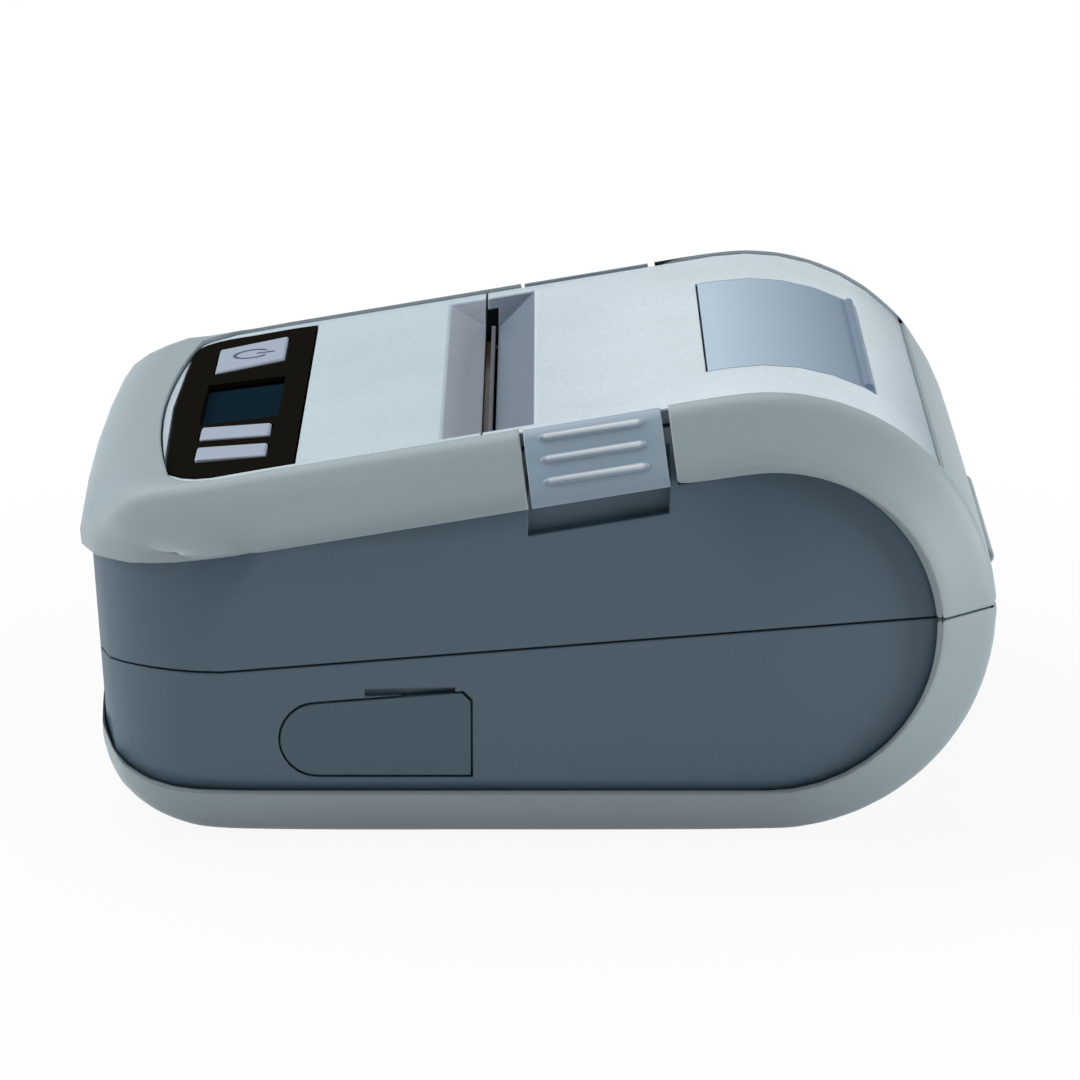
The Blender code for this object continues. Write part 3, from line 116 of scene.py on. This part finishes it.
# %% The moulded grain group
def build_grain():
    """Height, tone and gloss drift of moulded plastic, in the object's own space."""
    drift_share = 0.25  # in the tone, the slow drift counts a quarter of the fine grain
    noise_middle = 0.5
    group, start, end = new_group(
        "moulded_grain",
        (("Grain Size", mm(0.25)), ("Drift Size", mm(20)), ("Tone Drift", 0.06), ("Base Roughness", 0.5),
         ("Roughness Drift", 0.08)),
        (("Height", "NodeSocketFloat"), ("Tone", "NodeSocketFloat"), ("Roughness", "NodeSocketFloat")))
    place = group.nodes.new("ShaderNodeTexCoord").outputs["Object"]
    grain = group.nodes.new("ShaderNodeTexNoise")
    grain.inputs["Detail"].default_value = 2.0
    drift = group.nodes.new("ShaderNodeTexNoise")
    drift.inputs["Detail"].default_value = 3.0
    join_sockets(group, (place, grain.inputs["Vector"]), (place, drift.inputs["Vector"]),
                 (math_node(group, "DIVIDE", 1.0, start.outputs["Grain Size"]), grain.inputs["Scale"]),
                 (math_node(group, "DIVIDE", 1.0, start.outputs["Drift Size"]), drift.inputs["Scale"]))
    grain_value = grain.outputs[0]
    offset = math_node(group, "SUBTRACT", drift.outputs[0], noise_middle)
    fine = math_node(group, "SUBTRACT", grain_value, noise_middle)
    both = math_node(group, "ADD", math_node(group, "MULTIPLY", offset, drift_share), fine)
    tone = math_node(group, "ADD", math_node(group, "MULTIPLY", both, start.outputs["Tone Drift"]), 1.0)
    rough = math_node(group, "ADD", math_node(group, "MULTIPLY", offset, start.outputs["Roughness Drift"]),
                      start.outputs["Base Roughness"])
    join_sockets(group, (grain_value, end.inputs["Height"]), (tone, end.inputs["Tone"]),
                 (rough, end.inputs["Roughness"]))
    return group


grain_group = build_grain()
print("group:", grain_group.name, "with", len(grain_group.nodes), "nodes")

# %% [markdown]
# ### Finding a place
# Three more groups find a place on the printer, so that one material can change its
# colour there. Painting by hand or a mask picture would do it too, but a formula stays
# sharp at any distance. All three end in a ramp from zero to one.

# %% A ramp
def ramp(group, value, low, high, target):
    """Map a value to 0..1 between two limits."""
    node = group.nodes.new("ShaderNodeMapRange")
    node.inputs["From Min"].default_value = low
    node.inputs["From Max"].default_value = high
    join_sockets(group, (value, node.inputs["Value"]), (node.outputs["Result"], target))


print("ramp ready")

# %% [markdown]
# In the paper exit and under the cover, below the top's skin, the colour turns darker. The
# first group measures how deep a point lies below the sloping top, which is a plane at the
# front and a cylinder at the rear.

# %% Below the painted skin
slope = math.radians(9.5)  # the plane falls by this towards the front
turn_x, turn_z = mm(25.18, 60.38)  # where the plane turns into the cylinder
hub_x, hub_z, hub_radius = mm(30.2, 30.4, 30.4)  # the cylinder's axis and radius


def squared_gap(group, value, centre):
    """The square of the distance from a centre, along one axis."""
    gap = math_node(group, "ABSOLUTE", math_node(group, "SUBTRACT", value, centre), 0)
    return math_node(group, "POWER", gap, 2)


def build_skin_depth():
    """One below the painted skin of the top, zero on it."""
    group, start, end = new_group("skin_depth", (("Skin", mm(0.7)), ("Fade", mm(0.15))),
                                  (("Share", "NodeSocketFloat"),))
    parts = group.nodes.new("ShaderNodeSeparateXYZ")
    join_sockets(group, (group.nodes.new("ShaderNodeTexCoord").outputs["Object"], parts.inputs[0]))
    x, z = parts.outputs["X"], parts.outputs["Z"]
    rise = math_node(group, "MULTIPLY", math_node(group, "SUBTRACT", x, turn_x), math.tan(slope))
    drop = math_node(group, "SUBTRACT", math_node(group, "ADD", rise, turn_z), z)
    plane = math_node(group, "MULTIPLY", drop, math.cos(slope))
    squares = math_node(group, "ADD", squared_gap(group, x, hub_x), squared_gap(group, z, hub_z))
    round_end = math_node(group, "SUBTRACT", hub_radius, math_node(group, "SQRT", squares, 0))
    behind = math_node(group, "GREATER_THAN", x, turn_x)
    step = math_node(group, "MULTIPLY", math_node(group, "SUBTRACT", round_end, plane), behind)
    depth = math_node(group, "ADD", plane, step)
    over = math_node(group, "SUBTRACT", depth, start.outputs["Skin"])
    ramp(group, math_node(group, "DIVIDE", over, start.outputs["Fade"]), 0.0, 1.0, end.inputs["Share"])
    return group


skin_group = build_skin_depth()
print("group:", skin_group.name)

# %% [markdown]
# The ribs of a latch catch the light, so a painted highlight makes them brighter than the
# face between them. The second group measures how far a point stands out of that face. It
# takes the distance from the middle without its sign, so that it serves the latches on both
# sides.

# %% On the ribs of a latch
latch_normal = Vector((-0.09, 0.84, 0.54)).normalized()
latch_face = mm(68.42)  # from the origin to the face, along its normal


def build_rib_height():
    """One on the ribs of a latch, zero on its face. Both sides count alike."""
    foot = 0.3  # the lowest part of a rib still counts as the face
    group, start, end = new_group("rib_height", (("Rise", mm(0.3)),), (("Share", "NodeSocketFloat"),))
    parts = group.nodes.new("ShaderNodeSeparateXYZ")
    join_sockets(group, (group.nodes.new("ShaderNodeTexCoord").outputs["Object"], parts.inputs[0]))
    side = math_node(group, "ABSOLUTE", parts.outputs["Y"], 0)
    total = math_node(group, "MULTIPLY", parts.outputs["X"], latch_normal.x)
    total = math_node(group, "ADD", total, math_node(group, "MULTIPLY", side, latch_normal.y))
    total = math_node(group, "ADD", total, math_node(group, "MULTIPLY", parts.outputs["Z"], latch_normal.z))
    over = math_node(group, "DIVIDE", math_node(group, "SUBTRACT", total, latch_face), start.outputs["Rise"])
    ramp(group, over, foot, 1.0, end.inputs["Share"])
    return group


rib_group = build_rib_height()
print("group:", rib_group.name)

# %% [markdown]
# Rounded edges catch the light, so a painted highlight makes them a little lighter. A Bevel
# node turns the normal away from the true one near an edge, and the third group measures how far the two
# differ.

# %% On a rounded edge
def build_edge_share():
    """One on a rounded edge, zero on open faces. It takes the rounded normal."""
    group, start, end = new_group("edge_share", (("Strength", 1.0),), (("Share", "NodeSocketFloat"),))
    normal = group.interface.new_socket("Rounded", in_out="INPUT", socket_type="NodeSocketVector")
    dot = group.nodes.new("ShaderNodeVectorMath")
    dot.operation = "DOT_PRODUCT"
    true = group.nodes.new("ShaderNodeNewGeometry").outputs["True Normal"]
    join_sockets(group, (start.outputs[normal.name], dot.inputs[0]), (true, dot.inputs[1]))
    gain, least = 5.0, 0.15  # a turn of 37 degrees counts in full, one below 14 not at all
    bend = math_node(group, "MULTIPLY", math_node(group, "SUBTRACT", 1.0, dot.outputs["Value"]), gain)
    level = math_node(group, "MULTIPLY", bend, start.outputs["Strength"])
    ramp(group, level, least, 1.0, end.inputs["Share"])
    return group


edge_group = build_edge_share()
print("group:", edge_group.name)

# %% [markdown]
# ## Materials
# Every finish on the printer is a Principled BSDF. The colour is written as it looks on
# the real thing, and the grain group shifts it a little, drives the roughness, and gives
# the height for a Bump node. Screens give colours in sRGB, while shaders work with
# linear light, so one helper converts them. Another mixes in a second colour where a
# group gives a share.

# %% From screen colour to linear light
def linear(red, green, blue):
    """A linear colour from three screen values between 0 and 255."""
    def channel(value):
        share = value / 255
        return share / 12.92 if share <= 0.04045 else ((share + 0.055) / 1.055) ** 2.4
    return (channel(red), channel(green), channel(blue), 1.0)


print("mid grey is", round(linear(128, 128, 128)[0], 3), "in linear light")

# %% A second colour in a finish
def blend_in(material, share, colour):
    """Blend a second colour into a finish, before its tone drift."""
    tree = material.node_tree
    scale = next(node for node in tree.nodes if node.bl_idname == "ShaderNodeVectorMath")
    blend = tree.nodes.new("ShaderNodeMix")
    blend.data_type = "RGBA"
    first, second = (socket for socket in blend.inputs if socket.type == "RGBA")
    result = next(socket for socket in blend.outputs if socket.type == "RGBA")
    first.default_value = tuple(scale.inputs[0].default_value) + (1.0,)
    second.default_value = tuple(colour[:3]) + (1.0,)
    if scale.inputs[0].is_linked:
        tree.links.new(scale.inputs[0].links[0].from_socket, first)
    join_sockets(tree, (share, blend.inputs["Factor"]), (result, scale.inputs[0]))


def place_share(material, group):
    """The share that one of the place groups gives, inside a material."""
    node = material.node_tree.nodes.new("ShaderNodeGroup")
    node.node_tree = group
    return node.outputs["Share"]


print("blend helpers ready")

# %% One builder for all finishes
coat_roughness = 0.1
bevel_samples = 6


def finish(name, colour, roughness, metallic=0.0, grain=0.25, depth=0.02, tone=0.06, coat=0.0,
           specular=0.5, edge=0.25, painted_edge_highlight=0.0):
    """A material with moulded grain and rounded edges.

    grain is the size of the grain, depth its height and edge the radius of an edge, in
    millimetres. tone is how far the colour drifts, and the last argument how much a painted highlight
    lightens the rounded edges.
    """
    material = bpy.data.materials.new(name)
    material.use_nodes = True
    tree = material.node_tree
    shader = tree.nodes["Principled BSDF"]
    shader.inputs["Metallic"].default_value = metallic
    shader.inputs["Coat Weight"].default_value = coat
    shader.inputs["Coat Roughness"].default_value = coat_roughness
    shader.inputs["Specular IOR Level"].default_value = specular
    effect = tree.nodes.new("ShaderNodeGroup")
    effect.node_tree = grain_group
    effect.inputs["Grain Size"].default_value = mm(grain)
    effect.inputs["Tone Drift"].default_value = tone
    effect.inputs["Base Roughness"].default_value = roughness
    scale = tree.nodes.new("ShaderNodeVectorMath")
    scale.operation = "SCALE"
    scale.inputs[0].default_value = colour[:3]
    bump = tree.nodes.new("ShaderNodeBump")
    bump.inputs["Strength"].default_value = 1.0
    bump.inputs["Distance"].default_value = mm(depth)
    rounding = tree.nodes.new("ShaderNodeBevel")
    rounding.samples = bevel_samples
    rounding.inputs["Radius"].default_value = mm(edge)
    join_sockets(tree, (effect.outputs["Tone"], scale.inputs["Scale"]),
                 (scale.outputs[0], shader.inputs["Base Color"]),
                 (effect.outputs["Roughness"], shader.inputs["Roughness"]),
                 (effect.outputs["Height"], bump.inputs["Height"]),
                 (rounding.outputs[0], bump.inputs["Normal"]),
                 (bump.outputs[0], shader.inputs["Normal"]))
    # painted highlight: rounded edges get a lighter colour, as if they caught the light
    if painted_edge_highlight:
        edges = tree.nodes.new("ShaderNodeGroup")
        edges.node_tree = edge_group
        tree.links.new(rounding.outputs[0], edges.inputs["Rounded"])
        lighter = tuple(channel + (1 - channel) * painted_edge_highlight for channel in colour[:3])
        blend_in(material, edges.outputs["Share"], lighter)
    return material


print("finish builder ready")

# %% [markdown]
# ### The finishes of this printer
# The case is dark moulded plastic, the rim and the bumper are light, and the top is
# silver paint on plastic. The keys and the flap are rubber. Inside are steel,
# aluminium, brass, nylon, a ceramic strip and circuit boards. Each row gives a colour, a
# roughness and the grain, so that a finish can be changed in one place.

# %% One row for each finish
finishes = {
    "dark_housing": finish("dark housing", linear(82, 106, 122), 0.50, grain=0.45, depth=0.02, tone=0.14,
                           specular=0.6, edge=0.4),
    "light_rim": finish("light rim", linear(160, 176, 183), 0.46, grain=0.4, depth=0.012, edge=0.6,
                        painted_edge_highlight=0.2),
    "silver_paint": finish("silver paint", linear(208, 226, 236), 0.40, metallic=0.12, grain=0.32,
                           depth=0.012, tone=0.5),
    "latch": finish("latch plastic", linear(152, 173, 190), 0.40, grain=0.4, depth=0.01, edge=0.3, painted_edge_highlight=0.3),
    "panel_black": finish("panel film", linear(24, 22, 18), 0.42, grain=0.6, depth=0.002, tone=0.05,
                          specular=0.0, edge=0.15),
    "key_white": finish("key rubber", linear(170, 184, 202), 0.42, grain=0.3, depth=0.006, tone=0.03),
    "display_glass": finish("display glass", linear(18, 36, 48), 0.30, grain=0.8, depth=0.0, tone=0.05,
                            specular=0.0),
    "smoke_window": finish("window plastic", linear(198, 220, 238), 0.32, grain=0.3, depth=0.003, tone=0.03),
    "print_ink": finish("print ink", linear(84, 92, 112), 0.5, grain=0.3, depth=0.0, tone=0.04, specular=0.2,
                        edge=0.02),
    "flap_rubber": finish("flap rubber", linear(90, 112, 125), 0.62, grain=0.4, depth=0.02, tone=0.06,
                          specular=0.3, edge=0.35),
    "roller_rubber": finish("roller rubber", linear(38, 38, 40), 0.75, grain=0.2, depth=0.01),
    "steel": finish("plated steel", linear(190, 192, 194), 0.30, metallic=1.0, grain=0.3, depth=0.003,
                    tone=0.04),
    "tear_steel": finish("tear steel", linear(92, 96, 102), 0.55, metallic=0.5, grain=0.3, depth=0.004,
                         specular=0.3),
    "aluminium": finish("aluminium", linear(205, 206, 208), 0.38, metallic=1.0, grain=0.3, depth=0.004,
                        tone=0.05),
    "brass": finish("sintered brass", linear(190, 160, 100), 0.35, metallic=1.0, grain=0.2, depth=0.004),
    "white_nylon": finish("white nylon", linear(228, 228, 220), 0.5, grain=0.3, depth=0.006, tone=0.03),
    "head_ceramic": finish("head ceramic", linear(96, 80, 64), 0.25, grain=0.4, depth=0.002, coat=0.5),
    "circuit_board": finish("circuit board", linear(36, 98, 66), 0.4, grain=0.8, depth=0.01, tone=0.12),
    "black_plastic": finish("black plastic", linear(40, 41, 43), 0.5, grain=0.4, depth=0.02),
}
print("finishes:", len(finishes))

# %% [markdown]
# ### Finishes that change along the printer
# A painted highlight makes the silver paint brightest on the flat of the cover, and painted
# shade darkens it where the cover turns down. In the paper exit the colour is darker, and
# painted shade makes the exit's rear half darker still. Painted shade also darkens the
# window towards the rear. A blend along the printer's length gives such a change without more materials.

# %% A share along the printer's length
def share_along(material, start, stop):
    """Zero before one place along the printer's length, one after another."""
    tree = material.node_tree
    parts = tree.nodes.new("ShaderNodeSeparateXYZ")
    join_sockets(tree, (tree.nodes.new("ShaderNodeTexCoord").outputs["Object"], parts.inputs[0]))
    node = tree.nodes.new("ShaderNodeMapRange")
    node.inputs["From Min"].default_value = start
    node.inputs["From Max"].default_value = stop
    join_sockets(tree, (parts.outputs["X"], node.inputs["Value"]))
    return node.outputs["Result"]


print("share helper ready")

# %% The blends
cover_highlight_span, cover_shade_span, exit_rear, window_shade_span = mm(-12, 14), mm(45, 55), mm(-8, -7), mm(24, 45)
silver, latch_plastic, window_plastic = (finishes[key] for key in ("silver_paint", "latch", "smoke_window"))
below_skin_share = place_share(silver, skin_group)
# painted shade: share for the darker rear half of the paper exit
painted_shade_exit_rear = math_node(silver.node_tree, "MULTIPLY", below_skin_share, share_along(silver, *exit_rear))
# painted highlight: the silver turns brighter towards the flat of the cover
blend_in(silver, share_along(silver, *cover_highlight_span), linear(228, 242, 250))
# painted shade: the silver turns darker where the cover turns down
blend_in(silver, share_along(silver, *cover_shade_span), linear(152, 170, 184))
# the colour turns darker below the top's skin, as in the paper exit
blend_in(silver, below_skin_share, linear(172, 181, 194))
# painted shade on the rear half of the paper exit
blend_in(silver, painted_shade_exit_rear, linear(122, 137, 152))
# painted highlight: the ribs of the latches are made brighter than their face
blend_in(latch_plastic, place_share(latch_plastic, rib_group), linear(240, 246, 252))
# painted shade: the window darkens towards the rear
blend_in(window_plastic, share_along(window_plastic, *window_shade_span), linear(124, 146, 168))
print("blended:", silver.name, latch_plastic.name, window_plastic.name)

# %% [markdown]
# ## Dress the solids
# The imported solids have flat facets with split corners. A Weld modifier joins the
# corners, smooth shading rounds the shallow facets, and an Edge Split modifier keeps
# the real edges crisp. Modifiers leave the fixed meshes as they are, which is why they
# suit this work better than editing. The bumper and the cover's rim are soft forms and
# get a Subdivision modifier too. The bezel's large curves take a wider angle, and the
# tear bar a darker steel, because a bright one shines white in the dark exit.

# %% Give every solid its finish and clean shading
slot_of = {entry["node"]: entry["material_slot"] for entry in frame["record"]["subparts"]}
rounded = {"lower_bumper", "cover_rim"}
own_finish = {"tear_bar": "tear_steel"}
crisp_angle, own_angle = 32, {"front_bezel": 58}
weld_reach = mm(0.002)


def dress(name):
    """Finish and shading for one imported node."""
    item = nodes[name]
    item.data.materials.clear()
    item.data.materials.append(finishes[own_finish.get(name, slot_of[name])])
    item.data.shade_smooth()
    weld = item.modifiers.new("weld", "WELD")
    weld.merge_threshold = weld_reach
    split = item.modifiers.new("crisp edges", "EDGE_SPLIT")
    split.split_angle = math.radians(own_angle.get(name, crisp_angle))
    if name in rounded:
        smooth = item.modifiers.new("round form", "SUBSURF")
        smooth.levels = smooth.render_levels = 2


for node_name in nodes:
    dress(node_name)
print("dressed:", len(nodes))

# %% [markdown]
# ## Printed and raised details
# The power key carries a generic power sign: an open ring and a bar, printed a little
# proud of the key. The print head has a glazed bead along its heating line, which
# shows once the cover is open. Both are closed bands of quads, so that one function
# can make them from a list of cross-sections.

# %% A closed band through cross-sections
def band(name, sections, finish_name, body):
    """A closed solid through rings of points, all with the same number of points."""
    count = len(sections[0])
    points = [point for ring in sections for point in ring]
    faces = [tuple(range(count))[::-1], tuple(range(len(points) - count, len(points)))]
    for step in range(len(sections) - 1):
        for side in range(count):
            first, second = step * count + side, step * count + (side + 1) % count
            faces.append((first, second, second + count, first + count))
    mesh = bpy.data.meshes.new(name)
    mesh.from_pydata(points, [], faces)
    shape = bmesh.new()
    shape.from_mesh(mesh)
    bmesh.ops.recalc_face_normals(shape, faces=shape.faces)
    shape.to_mesh(mesh)
    shape.free()
    item = bpy.data.objects.new(name, mesh)
    bpy.context.scene.collection.objects.link(item)
    mesh.materials.append(finishes[finish_name])
    edge = item.modifiers.new("soft edge", "BEVEL")
    edge.width = mm(0.02)
    edge.segments = 2
    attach(item, body)
    return item


print("band builder ready")

# %% [markdown]
# ### The power sign
# A text object or a picture could show the sign, but bands of its own are meshes like the
# rest of the model. They lie on the plane of the key's top, whose height is measured from
# the key's own corners.

# %% The power sign on its key
key_normal = Vector((-0.12855, 0.0, 0.9917)).normalized()  # the keys tilt to the front


def key_plane():
    """Centre, two directions and the normal of the power key's top."""
    corners = [vertex.co.copy() for vertex in nodes["power_key"].data.vertices]
    level = max(key_normal.dot(corner) for corner in corners)
    top = [corner for corner in corners if key_normal.dot(corner) > level - mm(0.05)]
    centre = sum(top, Vector()) / len(top)
    side = Vector((0.0, 1.0, 0.0))
    return centre, side.cross(key_normal).normalized(), side, key_normal


def print_section(middle, across, normal, half, low, high):
    """Four corners of one cross-section of a printed line."""
    return [middle + across * side * half + normal * lift
            for side, lift in ((-1, low), (1, low), (1, high), (-1, high))]


def power_sign():
    """The open ring and the bar, as two bands."""
    centre, along, side, normal = key_plane()
    radius, half, low, high = mm(2.5, 0.26, 0.01, 0.06)
    opening, steps = math.radians(38), 36
    ring = []
    for step in range(steps + 1):
        turn = opening + (2 * math.pi - 2 * opening) * step / steps
        outward = along * math.cos(turn) + side * math.sin(turn)
        ring.append(print_section(centre + outward * radius, outward, normal, half, low, high))
    bar = [print_section(centre + along * reach, side, normal, half, low, high)
           for reach in mm(0.7, 1.6, 2.5, 3.3)]
    return [band("power_sign_ring", ring, "print_ink", "power_button"),
            band("power_sign_bar", bar, "print_ink", "power_button")]


sign_bands = power_sign()
print("power sign:", [item.name for item in sign_bands])

# %% [markdown]
# ### The heating line
# A thermal head has a low glazed bead along its line of heating dots. It is made as a
# half-round section swept along the head, and it is lower at both ends.

# %% The glazed bead on the print head
def head_glaze():
    """A low half-round bead on the head's face."""
    face = max(vertex.co.x for vertex in nodes["print_head"].data.vertices)
    half_height, rise, proud, level = mm(0.9, 0.12, 0.02, 43.5)
    arc_steps, end_share, end_from = 8, 0.4, mm(36.8)
    arc = [math.pi * step / arc_steps for step in range(arc_steps + 1)]
    sections = []
    for place in mm(-37.0, -36.6, -18.0, 0.0, 18.0, 36.6, 37.0):
        swell = end_share if abs(place) > end_from else 1.0
        sections.append([Vector((face + proud + rise * swell * math.sin(turn), place,
                                 level + half_height * math.cos(turn))) for turn in arc])
    return band("head_glaze", sections, "head_ceramic", "head_unit")


bead = head_glaze()
print("glaze:", bead.name)

# %% [markdown]
# ## The coils behind the head
# Two coils press the head against the roller. A rigid coil would cut into the heat sink
# when the head moves back. Each coil here is a piece of its own, whose mesh is a copy of the
# imported coil, since that is right; it hangs on the printer's body, and the imported coil is hidden.

# %% The coils behind the head
def head_coil(side):
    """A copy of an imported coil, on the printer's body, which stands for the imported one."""
    node = nodes["head_spring_" + side]
    coil = bpy.data.objects.new("head_coil_" + side, node.data.copy())
    bpy.context.scene.collection.objects.link(coil)
    for source in node.modifiers:
        twin = coil.modifiers.new(source.name, source.type)
        if source.type == "WELD":
            twin.merge_threshold = source.merge_threshold
        else:
            twin.split_angle = source.split_angle
    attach(coil, "printer_body")
    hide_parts("head_spring_" + side)
    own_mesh(coil)
    return coil


coils = [head_coil(side) for side in ("near", "far")]
print("coils:", [coil.name for coil in coils])

# %% [markdown]
# ## Stage, light and camera
# The ground is white, and soft light comes mostly from above, so the near side is
# darker than the top. A large plane carries a faint shadow. Stronger lamps would whiten
# the ground, but they would wash out the printer too. So the paper turns white by
# itself, and only for the eye and for glosses.

# %% White paper that keeps the shadow
def fade_to_white(tree, shader):
    """Seen directly or in a gloss, the paper turns white away from the printer."""
    place = tree.nodes.new("ShaderNodeTexCoord")
    reach = tree.nodes.new("ShaderNodeVectorMath")
    reach.operation = "LENGTH"
    fade = tree.nodes.new("ShaderNodeMapRange")
    fade.interpolation_type = "SMOOTHSTEP"
    for label, value in (("From Min", mm(70)), ("From Max", mm(200)), ("To Min", 0.92), ("To Max", 1.0)):
        fade.inputs[label].default_value = value
    path = tree.nodes.new("ShaderNodeLightPath")
    seen = math_node(tree, "MAXIMUM", path.outputs["Is Camera Ray"], path.outputs["Is Glossy Ray"])
    seen = math_node(tree, "MAXIMUM", seen, path.outputs["Is Transmission Ray"])
    white = tree.nodes.new("ShaderNodeEmission")
    mix = tree.nodes.new("ShaderNodeMixShader")
    share = math_node(tree, "MULTIPLY", seen, fade.outputs["Result"])
    end = tree.nodes["Material Output"]
    join_sockets(tree, (place.outputs["Object"], reach.inputs[0]),
                 (reach.outputs["Value"], fade.inputs["Value"]), (share, mix.inputs[0]),
                 (shader.outputs[0], mix.inputs[1]), (white.outputs[0], mix.inputs[2]),
                 (mix.outputs[0], end.inputs["Surface"]))


print("paper shader ready")

# %% The floor
def make_floor():
    """A large pale plane under the printer."""
    half, paper_grey = 3.0, 0.68  # half a side in metres, and the paper's lightness
    corners = [(-half, -half, 0), (half, -half, 0), (half, half, 0), (-half, half, 0)]
    mesh = bpy.data.meshes.new("floor")
    mesh.from_pydata(corners, [], [(0, 1, 2, 3)])
    floor = bpy.data.objects.new("floor", mesh)
    floor.location.z = -mm(0.05)
    bpy.context.scene.collection.objects.link(floor)
    material = bpy.data.materials.new("floor paper")
    material.use_nodes = True
    shader = material.node_tree.nodes["Principled BSDF"]
    shader.inputs["Base Color"].default_value = (paper_grey, paper_grey, paper_grey, 1.0)
    shader.inputs["Roughness"].default_value = 0.9
    shader.inputs["Specular IOR Level"].default_value = 0.0
    fade_to_white(material.node_tree, shader)
    mesh.materials.append(material)
    return floor


floor = make_floor()
print("floor at", round(floor.location.z, 5))

# %% [markdown]
# The world is an even white. It lights the printer only a little, so that the lamps
# give the form, while the camera sees full white behind the printer.

# %% The world
def make_world(strength, shown):
    """An even white world: one strength lights the model, another is seen behind it."""
    world = bpy.data.worlds.new("studio")
    bpy.context.scene.world = world
    world.use_nodes = True
    tree = world.node_tree
    back = tree.nodes["Background"]
    back.inputs["Color"].default_value = (1.0, 1.0, 1.0, 1.0)
    path = tree.nodes.new("ShaderNodeLightPath")
    seen = math_node(tree, "MAXIMUM", path.outputs["Is Camera Ray"], path.outputs["Is Transmission Ray"])
    level = math_node(tree, "ADD", math_node(tree, "MULTIPLY", seen, shown - strength), strength)
    tree.links.new(level, back.inputs["Strength"])
    return world


studio = make_world(strength=0.20, shown=1.0)
print("world:", studio.name)

# %% [markdown]
# Three soft lamps give the direction. A large one hangs above, one stands in front of
# the printer's nose, and a small one behind keeps the round rear from going dark.

# %% The lamps
def area_lamp(name, place, aim, size, power):
    """A square soft light that looks at a point."""
    light = bpy.data.lights.new(name, "AREA")
    light.shape = "SQUARE"
    light.size = size
    light.energy = power
    lamp = bpy.data.objects.new(name, light)
    lamp.location = place
    direction = Vector(aim) - Vector(place)
    lamp.rotation_euler = direction.to_track_quat("-Z", "Y").to_euler()
    bpy.context.scene.collection.objects.link(lamp)
    return lamp


middle = (0.0, 0.0, 0.03)
lamps = [area_lamp("key", (-0.30, 0.20, 1.00), middle, size=0.9, power=7.5),
         area_lamp("front light", (-1.00, 0.00, 0.40), middle, size=0.7, power=5.0),
         area_lamp("rear fill", (0.95, -0.22, 0.20), middle, size=0.4, power=5.6)]
print("lamps:", [lamp.name for lamp in lamps])

# %% [markdown]
# The camera looks square at the near side, from 15 degrees above. It stands 0.79 m away
# with a long lens, which keeps the perspective weak.

# %% The camera
def make_camera():
    """The photograph's view: square to the side, 15 degrees down, from 0.79 m away."""
    lens = bpy.data.cameras.new("camera")
    lens.sensor_width = 36.0
    lens.lens = 187.1
    lens.clip_start = 0.05
    camera = bpy.data.objects.new("camera", lens)
    camera.location = (0.0, -0.7584, 0.2320)
    camera.rotation_euler = (math.radians(75), 0.0, 0.0)
    bpy.context.scene.collection.objects.link(camera)
    bpy.context.scene.camera = camera
    return camera


camera = make_camera()
bpy.context.scene.view_settings.view_transform = "Standard"
print("camera:", camera.data.lens, "mm lens")

# %% [markdown]
# ## The size
# The dressed model keeps the size of the imported one, and the view layer is brought up to date.

# %% Update the view layer
bpy.context.view_layer.update()
